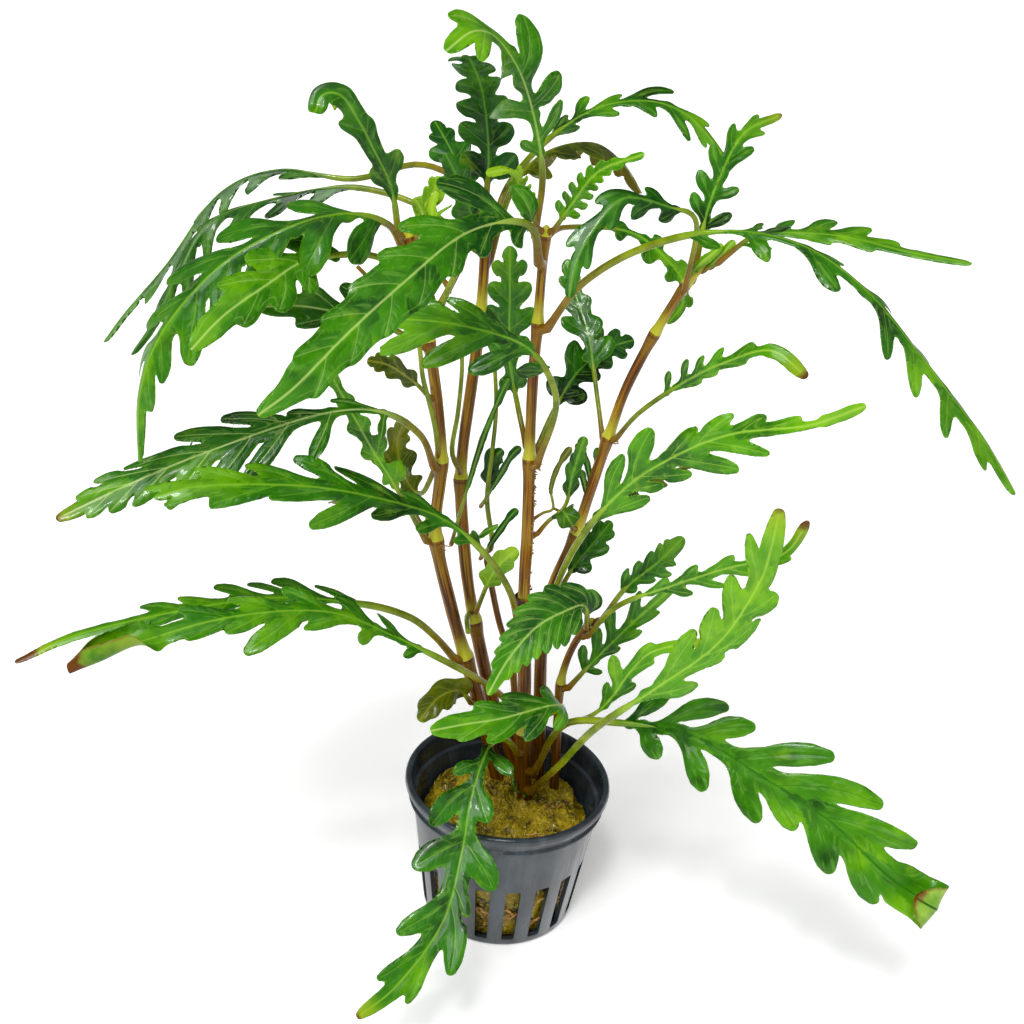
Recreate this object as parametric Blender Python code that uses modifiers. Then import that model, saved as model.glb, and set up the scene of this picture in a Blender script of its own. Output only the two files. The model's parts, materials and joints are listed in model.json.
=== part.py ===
"""A potted water plant, Hygrophila pinnatifida, as a faceted model.

Stems with swollen nodes rise from a lump of mineral wool in a small slotted net pot, and each
node carries long leaves cut into narrow side lobes. All lengths are in millimetres until a mesh
is written, in metres. The origin is the centre of the pot's base, +Z is up, and the side of the
plant that is seen from the front faces -Y.
"""
import math
from collections import namedtuple

import bmesh
import bpy
import numpy as np
from mathutils import Matrix, Vector

MM = 0.001
GAP = 0.3

# Net pot
POT_HEIGHT = 41.0
POT_RIM_RADIUS = 27.5
POT_BASE_RADIUS = 20.4
POT_WALL = 1.2
POT_FLOOR = 1.3
BAND_HEIGHT = 6.0
BAND_BASE_RADIUS = 25.2
LIP_HEIGHT = 2.2
POT_STEPS = 32
SLOT_COUNT = 16
SLOT_LOW = 3.2
SLOT_HIGH = 19.5
SLOT_WIDTH_LOW = 3.6
SLOT_WIDTH_HIGH = 4.4
FLOOR_SLOT_COUNT = 8
FLOOR_SLOT_WIDTH = 3.0
FLOOR_SLOT_INNER = 5.5
FLOOR_SLOT_OUTER = 15.5

# Mineral wool
WOOL_TOP = 32.0
WOOL_SEGMENTS = 20
WOOL_CLEARANCE = 0.6
WOOL_ROUGHNESS = 0.45
WOOL_SIDE_RINGS = (8.0, 15.0, 22.0, 28.0)
WOOL_TOP_SHARES = (1.0, 0.78, 0.5)
WOOL_TOP_INSET = 1.6
WOOL_SIDE_GAPS = {0: 3.5, 1: 2.5, 10: 4.5, 11: 3.5}
HUMP_CENTRE = (-12.0, 6.0)
HUMP_HEIGHT = 3.5
HUMP_SPREAD = 60.0
SOCKET_DEPTH = 9.0
SOCKET_RISE = 8.0
SOCKET_SIDES = 8

# Stems
STEM_SINK = 7.0
STEM_SPACING = 13.0
NODE_HALF_LENGTH = 2.6
NODE_SWELL = 1.3

# Leaves
SECTION_SIDES = 4
PETIOLE_RING_SPACING = 9.0
LOBE_WIDTH_SHARE = 0.42
LOBE_NEAR_CORNER = 0.26
TIP_SHARE = 0.95
LOBE_FOOT_SHARE = 0.35
STOP_SPREAD = 0.93
WEB_TAPER = 0.72
WEB_SHARE_OF_LOBE = 0.5
RIB_HALF_HEIGHT = 0.45
TIP_HALF_HEIGHT = 0.2
FINE_STEPS = 16
DIRECTION_STEPS = 60

# name, axis points from the wool or the parent stem upward, radius at the foot and at the top,
# heights of the swollen nodes, the stem that carries it (None where it stands in the wool)
Stem = namedtuple("Stem", "name route foot top nodes parent")

STEMS = [
    Stem("stem_left", [(-3, 12, 33), (-11, 11, 61), (-19, 10, 86), (-24, 11, 106), (-24, 12, 128),
                       (-29, 13, 159), (-36, 14, 185)], 2.0, 1.2, (72, 106, 128, 159, 184), None),
    Stem("stem_left_side_shoot", [(-27, 13, 161), (-25, 15, 170), (-22, 18, 177), (-20.5, 19, 184)],
         0.9, 0.7, (), "stem_left"),
    Stem("stem_back", [(1.5, 17.5, 33), (-7, 18, 56), (-13, 18, 79), (-17, 18, 101), (-19, 19, 120),
                       (-18, 21, 143), (-17, 23, 164), (-17, 24, 190)], 2.0, 1.3, (79, 120, 164, 189), None),
    Stem("stem_front", [(5, 4, 32), (3, 4, 56), (0, 3, 93), (-1, 2, 115), (-2, 2, 135),
                        (-3, 1, 155), (-3, 1, 170), (-3, 0, 192)], 2.1, 1.1, (54, 91, 135, 170, 191), None),
    Stem("stem_right", [(8.5, 12.5, 33), (6, 12, 73), (7, 11, 93), (12, 10, 112), (17, 8, 140),
                        (21, 7, 156), (31, 5, 181), (40, 4, 190)], 1.9, 1.0, (112, 140, 168, 181), None),
    Stem("stem_low_right", [(13, 9, 33), (12, 8, 57), (12, 8, 69), (14, 6, 80), (18, 3, 90)],
         1.3, 0.9, (68, 89), None),
    Stem("stem_inner", [(3, 10.5, 33), (0, 13, 57), (-2, 14, 69), (-6, 15, 80), (-11, 15, 99)],
         1.1, 0.8, (69,), None),
]

# name, stem and height of the node it grows from, midrib points from there to the tip, share of
# the length where the blade starts, lobe lengths on each side, half width of the web between the
# lobes, way the upper face looks at the base and at the tip, forward lean of the lobes in
# degrees, drop of a lobe's end for each millimetre of its length, petiole radius
Leaf = namedtuple("Leaf", "name stem height route blade left right web face face_tip lean droop petiole")

UP = (0.0, -0.25, 1.0)
TO_VIEW = (0.0, -0.9, 0.45)
TILTED = (0.0, -0.6, 0.8)

LEAVES = [
    Leaf("leaf_crown", "stem_front", 189, [(-5, 1, 204), (-10, -4, 222), (-16, -10, 232), (-21, -18, 235),
         (-26, -26, 232)], 0.22, (4, 12, 14, 8, 4), (8, 10, 13, 7, 3), 2.6, TO_VIEW, (0.3, -0.5, 0.8),
         50, 0.0, 0.9),
    Leaf("leaf_crown_back", "stem_back", 187, [(-18, 27, 200), (-20, 24, 214), (-23, 14, 224), (-25, 6, 226)],
         0.1, (9, 9, 8, 7, 6, 5), (9, 8, 7, 6, 6, 4), 2.6, TO_VIEW, (0, -0.6, -0.8), 45, 0.0, 0.9),
    Leaf("leaf_crown_back_small", "stem_back", 185, [(-24, 36, 192), (-29, 44, 198), (-33, 50, 202)],
         0.3, (5, 7, 4), (5, 6, 4), 2.6, TILTED, None, 45, 0.1, 0.8),
    Leaf("leaf_crown_back_plain", "stem_back", 181, [(-21, 14, 190), (-24, 10, 198), (-27, 8, 204)],
         0.3, (5, 4), (5, 4), 2.6, TO_VIEW, None, 45, 0.0, 0.8),
    Leaf("leaf_upper_left_curled", "stem_left", 183, [(-39, 9, 195), (-43, 6, 204), (-46, 4, 210),
         (-50, 2, 216), (-54, 0, 216), (-55, -3, 211)], 0.14, (3, 6, 6, 4, 3), (8, 4, 4, 3, 3), 2.6,
         TO_VIEW, None, 50, 0.0, 0.9),
    Leaf("leaf_left_arch_inner", "stem_back", 178, [(-34, 29, 186), (-52, 33, 188), (-70, 31, 184),
         (-84, 23, 179), (-90, 16, 168), (-95, 11, 157), (-100, 8, 149)], 0.3, (5, 7, 8, 7, 6, 4),
         (5, 7, 7, 6, 5, 3), 1.8, UP, None, 40, 0.3, 0.9),
    Leaf("leaf_left_arch_high", "stem_back", 189, [(-25, 30, 193), (-36, 37, 194), (-52, 41, 188),
         (-70, 40, 189), (-84, 35, 183), (-95, 25, 167), (-103, 16, 157), (-107, 10, 151)], 0.34,
         (4, 6, 8, 9, 9, 8, 6, 4), (4, 6, 8, 8, 8, 7, 6, 4), 1.8, UP, (-0.5, -0.3, 0.8), 38, 0.3, 0.9),
    Leaf("leaf_left_arch_drooping", "stem_left", 180, [(-39, 4, 188), (-46, -5, 193), (-57, -12, 192),
         (-71, -18, 185), (-81, -24, 175), (-87, -27, 165), (-90, -29, 153), (-90, -31, 140)],
         0.14, (6, 13, 10, 12, 14, 16, 9, 7, 5), (7, 6, 10, 15, 8, 10, 6, 5, 4), 2.4, TILTED,
         (-0.6, -0.7, 0.3), 38, 0.25, 1.0),
    Leaf("leaf_left_pale", "stem_left", 171, [(-41, 1, 181), (-54, -12, 183), (-61, -26, 181), (-68, -36, 177),
         (-73, -44, 172)], 0.4, (8, 7, 6, 5, 3), (7, 6, 6, 5, 3), 3.4, TO_VIEW, None, 38, 0.0, 0.9),
    Leaf("leaf_front_big", "stem_front", 184, [(-6, -8, 193), (-12, -15, 196), (-21, -26, 195), (-31, -42, 189),
         (-40, -54, 182), (-48, -66, 175), (-54, -72, 171)], 0.16, (5, 6, 8, 9, 7, 10, 8, 4),
         (9, 15, 12, 9, 11, 9, 7, 4), 4.2, TO_VIEW, None, 36, 0.0, 1.1),
    Leaf("leaf_left_short", "stem_left", 157, [(-39, 6, 163), (-48, 0, 167), (-57, -6, 170), (-66, -12, 171)],
         0.34, (9, 9, 7, 4), (8, 7, 6, 4), 3.4, TO_VIEW, None, 42, 0.0, 0.9),
    Leaf("leaf_front_dark", "stem_front", 133, [(3, -5, 150), (0, -10, 161), (-6, -13, 168), (-16, -14, 171),
         (-26, -14, 172), (-36, -15, 172)], 0.48, (6, 8, 12, 13, 8, 5), (5, 8, 9, 8, 6, 4), 3.2, TO_VIEW,
         None, 36, 0.0, 0.9),
    Leaf("leaf_left_middle", "stem_left", 126, [(-29, 3, 137), (-38, -4, 145), (-52, -12, 146), (-75, -22, 139),
         (-91, -30, 133), (-105, -38, 127)], 0.2, (6, 10, 14, 15, 14, 11, 8, 5),
         (4, 8, 15, 15, 13, 10, 7, 4), 2.8, TILTED, None, 38, 0.1, 1.0),
    Leaf("leaf_left_middle_low", "stem_front", 89, [(-4, -6, 101), (-10, -10, 112), (-19, -14, 122),
         (-30, -18, 128), (-50, -27, 135), (-72, -35, 137), (-83, -39, 135)], 0.26,
         (4, 5, 8, 13, 13, 14, 11, 8, 5), (4, 6, 12, 15, 13, 10, 8, 7, 4), 2.8, TILTED, None, 38, 0.1, 1.0),
    Leaf("leaf_left_brown_under", "stem_left", 104, [(-32, 17, 110), (-42, 24, 109), (-54, 30, 103)],
         0.25, (6, 8, 7, 5), (6, 8, 7, 5), 3.2, (0, 0.5, 0.9), None, 40, 0.2, 0.9),
    Leaf("leaf_left_low_long", "stem_left", 71, [(-22, 2, 81), (-29, -4, 90), (-41, -10, 96), (-61, -18, 100),
         (-81, -26, 99), (-103, -34, 95), (-116, -40, 90)], 0.3, (6, 8, 13, 9, 9, 8, 6, 4, 2),
         (10, 11, 9, 12, 10, 8, 7, 5, 2), 2.3, (0, -0.4, 0.9), None, 34, 0.1, 1.1),
    Leaf("leaf_left_low_rolled", "stem_front", 62, [(-7, -8, 74), (-17, -18, 86), (-30, -26, 97),
         (-45, -34, 107), (-65, -43, 109), (-84, -51, 105), (-97, -57, 99)], 0.3,
         (3, 2, 5, 7, 9, 9, 9, 9, 8, 7), (2, 3, 5, 6, 8, 8, 8, 8, 7, 6), 2.3, (0, -0.5, 0.85), None, 34, 0.1,
         1.0),
    Leaf("leaf_olive_low", "stem_left", 58, [(-15, 1, 66), (-20, -5, 67), (-24, -10, 63)], 0.2, (5, 6, 4),
         (5, 5, 4), 3.6, TO_VIEW, None, 35, 0.0, 0.8),
    Leaf("leaf_over_rim", "stem_front", 58, [(12, -6, 68), (8, -15, 74), (-3, -22, 74), (-12, -26, 74),
         (-20, -30, 74)], 0.3, (6, 7, 8, 7, 4), (6, 7, 7, 6, 4), 3.4, TILTED, None, 40, 0.0, 0.8),
    Leaf("leaf_front_hanging", "stem_front", 48, [(-2, -9, 59), (-6, -20, 63), (-9, -32, 56), (-10, -40, 47),
         (-13, -52, 35), (-22, -62, 24), (-31, -68, 18)], 0.2, (9, 6, 14, 6, 12, 8), (5, 12, 11, 6, 10, 6),
         2.8, (0, -0.6, 0.8), (0, -0.9, 0.4), 38, 0.0, 1.0),
    Leaf("leaf_front_fern", "stem_low_right", 88, [(15, -5, 98), (10, -10, 99), (3, -16, 97), (-3, -22, 91),
         (-7, -27, 84)], 0.16, (5, 6, 7, 7, 6, 4, 3), (4, 5, 6, 6, 5, 4, 2), 2.6, TO_VIEW, None, 40, 0.0, 0.8),
    Leaf("leaf_right_low_big", "stem_front", 42, [(13, -5, 62), (26, -12, 69), (45, -18, 71), (62, -24, 65),
         (79, -30, 58), (95, -36, 47), (107, -38, 41)], 0.26, (10, 14, 13, 16, 17, 15, 11),
         (8, 14, 16, 8, 14, 13, 11), 3.2, TO_VIEW, None, 42, 0.0, 1.1),
    Leaf("leaf_right_pale_rising", "stem_front", 36, [(13, -11, 54), (20, -20, 72), (32, -28, 90),
         (44, -36, 109), (50, -40, 127), (51, -42, 137), (51, -44, 148)], 0.4, (4, 6, 9, 10, 9, 7, 4),
         (6, 10, 11, 11, 10, 8, 4), 2.4, TO_VIEW, None, 35, 0.0, 1.1),
    Leaf("leaf_right_pale_thin", "stem_low_right", 55, [(20, -1, 63), (24, -5, 71), (29, -6, 82), (34, -8, 89),
         (46, -10, 94)], 0.25, (4, 8, 4, 3, 2), (4, 8, 4, 3, 2), 1.7, TO_VIEW, None, 35, 0.0, 0.7),
    Leaf("leaf_right_feathery", "stem_low_right", 66, [(19, 4, 76), (24, 3, 84), (29, 0, 93), (37, -4, 106)],
         0.15, (6, 9, 10, 9, 7, 4), (6, 9, 8, 9, 8, 5), 1.5, TO_VIEW, None, 44, 0.0, 0.8),
    Leaf("leaf_right_feathery_high", "stem_low_right", 90, [(25, 2, 100), (32, -1, 110), (37, -4, 119)],
         0.3, (5, 5, 4, 4), (6, 8, 7, 4), 2.6, TO_VIEW, None, 40, 0.0, 0.8),
    Leaf("leaf_right_narrow", "stem_low_right", 85, [(23, -7, 100), (35, -14, 111), (46, -20, 120),
         (57, -26, 128), (61, -28, 138)], 0.3, (2, 4, 5, 4, 3, 2, 2), (3, 7, 6, 4, 3, 2, 2), 1.3, TO_VIEW,
         None, 30, 0.0, 0.8),
    Leaf("leaf_right_middle", "stem_right", 84, [(8, 1, 101), (12, -6, 116), (21, -13, 134), (31, -19, 146),
         (42, -25, 155), (57, -31, 161), (67, -37, 169)], 0.36, (7, 9, 6, 8, 5, 4, 3, 2),
         (5, 10, 11, 10, 5, 3, 2, 2), 2.2, TO_VIEW, None, 36, 0.0, 1.0),
    Leaf("leaf_right_brown_under", "stem_right", 110, [(19, 20, 113), (31, 32, 117), (42, 44, 117)],
         0.3, (5, 7, 6, 4), (5, 7, 6, 4), 2.6, (0, 0.5, 0.9), None, 40, 0.2, 0.8),
    Leaf("leaf_right_thin_brown_tip", "stem_right", 139, [(23, 0, 149), (32, -6, 160), (40, -10, 167),
         (49, -14, 172), (57, -18, 168)], 0.36, (2, 4, 4, 4, 3, 2, 3), (3, 5, 5, 4, 3, 2, 3), 1.4, TO_VIEW,
         None, 32, 0.0, 0.7),
    Leaf("leaf_right_long_arch", "stem_front", 168, [(6, -6, 181), (18, -12, 192), (34, -18, 199),
         (50, -24, 199), (64, -30, 192), (76, -36, 181), (90, -42, 167), (99, -44, 156)], 0.3,
         (3, 4, 4, 4, 6, 4, 3, 3, 2), (5, 7, 9, 5, 8, 7, 6, 4, 2), 1.5, (0.2, -0.4, 0.9), (0.8, -0.5, 0.4),
         30, 0.2, 1.0),
    Leaf("leaf_right_high", "stem_right", 186, [(43, -2, 194), (50, -4, 196), (62, -7, 197), (75, -11, 196),
         (88, -16, 196)], 0.16, (4, 7, 9, 8, 6, 3, 2), (3, 5, 6, 5, 3, 2, 2), 1.9, (0, -0.5, 0.85), None, 34,
         0.1, 0.7),
    Leaf("leaf_right_crown", "stem_right", 182, [(33, 10, 192), (35, 13, 201), (40, 18, 212), (49, 24, 216)],
         0.2, (8, 9, 7, 5, 4, 2), (7, 8, 9, 7, 5, 3), 2.3, TO_VIEW, None, 42, 0.0, 0.8),
    Leaf("leaf_back_arch_right", "stem_back", 182, [(-13, 32, 192), (-4, 42, 202), (8, 50, 209), (21, 52, 211),
         (31, 50, 208), (40, 46, 200)], 0.36, (5, 6, 11, 6, 4, 3), (4, 6, 8, 12, 8, 4), 2.0, (0, -0.5, 0.85),
         None, 34, 0.1, 0.9),
    Leaf("leaf_back_arch_olive", "stem_back", 175, [(-12, 36, 190), (-5, 48, 197), (7, 60, 198), (16, 66, 192),
         (22, 68, 184)], 0.3, (5, 7, 7, 6, 4), (6, 8, 8, 7, 4), 2.4, (0, 0.3, 0.9), None, 40, 0.5, 0.9),
    Leaf("leaf_young_right", "stem_front", 191.5, [(2, -4, 198), (7, -9, 207), (16, -15, 213)], 0.1,
         (2, 3, 3, 3, 2, 2), (2, 3, 3, 3, 2, 2), 1.1, TO_VIEW, None, 40, 0.0, 0.6),
    Leaf("leaf_young_left", "stem_front", 191.5, [(-9, -4, 200), (-12, -7, 205), (-17, -11, 205)], 0.1,
         (2, 3, 3, 3, 2), (2, 3, 3, 3, 2), 1.1, TO_VIEW, None, 40, 0.0, 0.6),
    Leaf("leaf_looping", "stem_front", 190, [(2, 7, 190), (12, 13, 189), (19, 15, 187), (25, 15, 183),
         (30, 14, 178), (31, 13.5, 172), (28, 13, 167)], 0.32, (3, 4, 4, 3), (3, 5, 4, 3), 1.1, (0, -0.8, 0.6),
         None, 40, 0.2, 0.7),
    Leaf("leaf_hanging_back_right", "stem_right", 179, [(30, -2, 196), (23, -6, 200), (13, -10, 202),
         (7, -15, 196), (4, -19, 190), (3, -23, 183)], 0.34, (6, 9, 9, 8, 6, 4), (3, 5, 6, 7, 6, 4), 2.6,
         TILTED, TO_VIEW, 42, 0.2, 0.7),
    Leaf("leaf_inner_right_high", "stem_right", 137, [(13, 18, 147), (10, 26, 158), (6, 33, 166), (3, 38, 173)],
         0.36, (3, 8, 5, 4), (8, 5, 4, 3), 2.2, TO_VIEW, None, 40, 0.0, 0.7),
    Leaf("leaf_inner_right", "stem_front", 134, [(3, 13, 142), (8, 22, 149), (15, 30, 153), (22, 36, 154)],
         0.3, (6, 9, 8, 5), (7, 7, 6, 5), 2.8, TO_VIEW, None, 42, 0.0, 0.8),
    Leaf("leaf_inner_pale_midrib", "stem_front", 136, [(-6, 12, 143), (-9, 13, 155), (-10, 13, 169),
         (-11, 12, 183)], 0.25, (4, 7, 8, 7, 5), (4, 7, 8, 7, 5), 2.4, TO_VIEW, None, 42, 0.0, 0.8),
    Leaf("leaf_yellow", "stem_back", 82, [(-9, 8, 97), (-6, 6, 103), (-3, 5, 107)], 0.4, (4, 4), (4, 4), 2.6,
         TO_VIEW, None, 35, 0.0, 0.7),
    Leaf("leaf_left_narrow_rising", "stem_left", 105, [(-33, 4, 120), (-40, 2, 132), (-45, 0, 142),
         (-50, -2, 152), (-53, -4, 158)], 0.3, (3, 4, 4, 3, 3), (6, 6, 4, 3, 2), 1.6, TO_VIEW, None, 35, 0.0,
         0.8),
    Leaf("leaf_inner_left_olive", "stem_left", 124, [(-29, 22, 112), (-34, 30, 112), (-37, 34, 120),
         (-35, 33, 128)], 0.4, (4, 6, 4), (5, 6, 4), 2.6, TO_VIEW, None, 40, 0.0, 0.8),
    Leaf("leaf_small_olive_left", "stem_left", 144, [(-31, 6, 149), (-37, 3, 154), (-42, 0, 156)], 0.3,
         (3, 4, 3), (3, 4, 3), 1.8, TO_VIEW, None, 35, 0.0, 0.6),
    Leaf("leaf_narrow_upright", "stem_front", 113, [(4, 4, 116), (8, 6, 120), (9, 7, 128), (11, 8, 138)], 0.42,
         (3, 4, 3, 2), (4, 3, 3, 2), 1.5, TO_VIEW, None, 25, 0.0, 0.6),
    Leaf("leaf_inner_left_light", "stem_left_side_shoot", 171, [(-29, 21, 173), (-31, 20, 168), (-30, 19, 160)],
         0.3, (4, 4, 3), (4, 5, 3), 2.0, TO_VIEW, None, 35, 0.0, 0.6),
    Leaf("leaf_curly_dark", "stem_right", 113, [(8, 5, 118), (7, 1, 122), (9, -2, 125)], 0.3, (4, 4), (4, 4),
         2.4, TO_VIEW, None, 35, 0.0, 0.6),
    Leaf("leaf_inner_right_low", "stem_right", 91, [(12, 16, 97), (17, 20, 103), (21, 23, 108)], 0.25,
         (5, 6, 4), (5, 6, 4), 2.4, TO_VIEW, None, 40, 0.0, 0.7),
    Leaf("shoot_tip_left", "stem_left", 184.5, [(-32, 17, 189), (-30, 18, 192), (-29, 19, 196)], 0.15,
         (4, 4, 3), (4, 4, 3), 1.8, TO_VIEW, None, 35, 0.0, 0.7),
]

# Colours: name, base colour, roughness
POT_FINISH = ("pot_plastic", (0.045, 0.055, 0.07), 0.35)
WOOL_FINISH = ("mineral_wool", (0.16, 0.12, 0.02), 0.6)
STEM_FINISH = ("stem", (0.26, 0.13, 0.03), 0.4)
LEAF_FINISH = ("leaf", (0.07, 0.25, 0.02), 0.4)
PALE_FINISH = ("pale_leaf", (0.25, 0.5, 0.04), 0.4)
OLIVE_FINISH = ("olive_leaf", (0.14, 0.16, 0.02), 0.45)

PALE_LEAVES = ("leaf_young_right", "leaf_young_left", "leaf_right_pale_rising", "leaf_right_pale_thin",
               "leaf_yellow", "leaf_left_pale", "shoot_tip_left")
OLIVE_LEAVES = ("leaf_olive_low", "leaf_left_brown_under", "leaf_right_brown_under",
                "leaf_back_arch_olive", "leaf_inner_left_olive")


def clear_scene():
    for item in list(bpy.data.objects):
        bpy.data.objects.remove(item, do_unlink=True)


def new_collection(name):
    collection = bpy.data.collections.new(name)
    bpy.context.scene.collection.children.link(collection)
    return collection


def new_material(finish):
    name, colour, roughness = finish
    material = bpy.data.materials.new(name)
    material.use_nodes = True
    shader = material.node_tree.nodes["Principled BSDF"]
    shader.inputs["Base Color"].default_value = (*colour, 1.0)
    shader.inputs["Roughness"].default_value = roughness
    return material


def add_object(name, data, collection, material=None):
    item = bpy.data.objects.new(name, data)
    collection.objects.link(item)
    if material is not None:
        item.data.materials.append(material)
    return item


def add_mesh(name, points, faces, collection, material=None):
    """A mesh object from points in millimetres."""
    mesh = bpy.data.meshes.new(name)
    mesh.from_pydata([tuple(c * MM for c in p) for p in points], [], faces)
    mesh.update()
    return add_object(name, mesh, collection, material)


def unit(vector):
    return vector / np.linalg.norm(vector)


def smooth_line(points):
    """A fine line through the points, by a Catmull-Rom curve, with its running length."""
    points = np.array(points, float)
    first = 2 * points[0] - points[1]
    last = 2 * points[-1] - points[-2]
    padded = np.vstack([first, points, last])
    line = []
    for k in range(1, len(padded) - 2):
        before, start, end, after = padded[k - 1:k + 3]
        for t in np.linspace(0, 1, FINE_STEPS, endpoint=False):
            line.append(0.5 * (2 * start + (end - before) * t
                               + (2 * before - 5 * start + 4 * end - after) * t ** 2
                               + (3 * start - before - 3 * end + after) * t ** 3))
    line.append(points[-1])
    line = np.array(line)
    steps = np.linalg.norm(np.diff(line, axis=0), axis=1)
    return line, np.concatenate([[0], np.cumsum(steps)])


def along(line, run, distances):
    """The line's points at the given distances from its start."""
    return np.column_stack([np.interp(distances, run, line[:, axis]) for axis in range(3)])


def stem_line(stem):
    """The stem's axis, which starts inside the wool, or just clear of the stem that carries it."""
    route = [np.array(p, float) for p in stem.route]
    if stem.parent is None:
        down = unit(route[0] - route[1])
        route.insert(0, route[0] + down * STEM_SINK)
    else:
        route[0] = clear_start(stem.parent, route[0][2], route[1], stem.foot)
    return smooth_line(route)


def stem_radius(stem, run, distance):
    """The stem tapers evenly, before its nodes are swollen."""
    share = distance / run[-1]
    return stem.foot + (stem.top - stem.foot) * share


def stem_at(name, height):
    """The axis point and the thickest radius of the named stem at a height."""
    stem = next(s for s in STEMS if s.name == name)
    line, run = stem_line(stem)
    distance = np.interp(height, line[:, 2], run)
    point = along(line, run, [distance])[0]
    return point, stem_radius(stem, run, distance) * NODE_SWELL


def clear_start(stem_name, height, toward, radius):
    """Where a petiole or a side shoot starts: beside its stem, on the side that it leaves from."""
    centre, stem_r = stem_at(stem_name, height)
    way = np.array(toward, float) - centre
    way[2] = 0.0
    return centre + unit(way) * (stem_r + GAP + radius)


def build_stem(stem, collection, material):
    line, run = stem_line(stem)
    count = max(2, round(run[-1] / STEM_SPACING))
    places = {float(d): 1.0 for d in np.linspace(0, run[-1], count + 1)}
    for height in stem.nodes:
        middle = float(np.interp(height, line[:, 2], run))
        near = [d for d in places if abs(d - middle) < 2 * NODE_HALF_LENGTH and 0 < d < run[-1]]
        for d in near:
            del places[d]
        for offset, swell in ((-NODE_HALF_LENGTH, 1.0), (0.0, NODE_SWELL), (NODE_HALF_LENGTH, 1.0)):
            if 0 < middle + offset < run[-1]:
                places[middle + offset] = swell
    distances = sorted(places)
    curve = bpy.data.curves.new(stem.name, "CURVE")
    curve.dimensions = "3D"
    curve.bevel_depth = MM
    curve.bevel_resolution = 1
    curve.use_fill_caps = True
    spline = curve.splines.new("POLY")
    spline.points.add(len(distances) - 1)
    for target, distance, point in zip(spline.points, distances, along(line, run, distances)):
        target.co = (*(point * MM), 1.0)
        target.radius = stem_radius(stem, run, distance) * places[distance]
    return add_object(stem.name, curve, collection, material)


def leaf_frames(leaf, distances, line, run):
    """Points of the midrib with the way forward, to the left and up from the face at each."""
    points = along(line, run, distances)
    step = run[-1] / DIRECTION_STEPS
    ahead = along(line, run, np.minimum(np.array(distances) + step, run[-1]))
    behind = along(line, run, np.maximum(np.array(distances) - step, 0))
    base_face = np.array(leaf.face, float)
    tip_face = np.array(leaf.face_tip or leaf.face, float)
    frames = []
    for point, distance, fore, aft in zip(points, distances, ahead, behind):
        forward = unit(fore - aft)
        share = distance / run[-1]
        face = base_face * (1 - share) + tip_face * share
        normal = unit(face - forward * (face @ forward))
        frames.append((point, forward, np.cross(normal, forward), normal))
    return frames


def lobe_corners(leaf, frame, side, length, width):
    """The two end corners of a lobe that leans forward from the midrib at this frame."""
    point, forward, left, normal = frame
    lean = math.radians(leaf.lean)
    outward = left * side
    reach = forward * math.cos(lean) + outward * math.sin(lean)
    across = forward * math.sin(lean) - outward * math.cos(lean)
    end = point + reach * length - normal * leaf.droop * length
    return end - across * width / 2 - reach * LOBE_NEAR_CORNER * length, end + across * width / 2


def web_width(leaf, stop, share):
    """Half the width of the blade between two lobes, at a stop counted from the blade's start."""
    beside = [lengths[k] for lengths in (leaf.left, leaf.right) for k in (stop - 1, stop) if k < len(lengths)]
    sideways = min(beside) * math.sin(math.radians(leaf.lean))
    return min(leaf.web * (1 - WEB_TAPER * share), WEB_SHARE_OF_LOBE * sideways)


def build_leaf(leaf, collection, material):
    """A closed leaf: a square petiole, then a midrib ridge with flat lobes on both sides."""
    line, run = smooth_line([clear_start(leaf.stem, leaf.height, leaf.route[0], leaf.petiole), *leaf.route])
    length = run[-1]
    count = len(leaf.left)
    blade = leaf.blade * length
    tip = length * TIP_SHARE
    bare = max(2, round(blade / PETIOLE_RING_SPACING))
    petiole_stops = list(np.linspace(0, blade, bare + 1)[:-1])
    web_stops = [blade + (tip - blade) * (k / count) ** STOP_SPREAD for k in range(count + 1)]
    points, faces, rings = [], [], []
    for stop, frame in zip(petiole_stops + web_stops, leaf_frames(leaf, petiole_stops + web_stops, line, run)):
        point, _, left, normal = frame
        if stop < blade:
            high = wide = leaf.petiole
        else:
            share = (stop - blade) / (length - blade)
            high = RIB_HALF_HEIGHT + (TIP_HALF_HEIGHT - RIB_HALF_HEIGHT) * share
            wide = web_width(leaf, len(rings) - bare, share) if stop > blade else leaf.petiole
        rings.append(len(points))
        points += [point + normal * high, point + left * wide, point - normal * high, point - left * wide]
    top, left_edge, bottom, right_edge = range(SECTION_SIDES)
    faces.append([rings[0] + k for k in range(SECTION_SIDES)])
    for low, high in zip(rings[:bare], rings[1:]):
        for k in range(SECTION_SIDES):
            after = (k + 1) % SECTION_SIDES
            faces.append([low + after, low + k, high + k, high + after])
    middles = [a + LOBE_FOOT_SHARE * (b - a) for a, b in zip(web_stops, web_stops[1:])]
    for k, frame in enumerate(leaf_frames(leaf, middles, line, run)):
        low, high = rings[bare + k], rings[bare + k + 1]
        width = LOBE_WIDTH_SHARE * (web_stops[k + 1] - web_stops[k])
        for side, lengths, edge in ((1, leaf.left, left_edge), (-1, leaf.right, right_edge)):
            near, far = lobe_corners(leaf, frame, side, lengths[k], width)
            a, b = len(points), len(points) + 1
            points += [near, far]
            for ridge, turned in ((top, side < 0), (bottom, side > 0)):
                hub = low + ridge
                for face in ([hub, high + ridge, high + edge], [hub, high + edge, b], [hub, b, a],
                             [hub, a, low + edge]):
                    faces.append(face[::-1] if turned else face)
    end = len(points)
    points.append(line[-1])
    last = rings[-1]
    for ridge, turned in ((top, False), (bottom, True)):
        for face in ([last + ridge, end, last + left_edge], [last + ridge, last + right_edge, end]):
            faces.append(face[::-1] if turned else face)
    return add_mesh(leaf.name, points, faces, collection, material)


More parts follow.
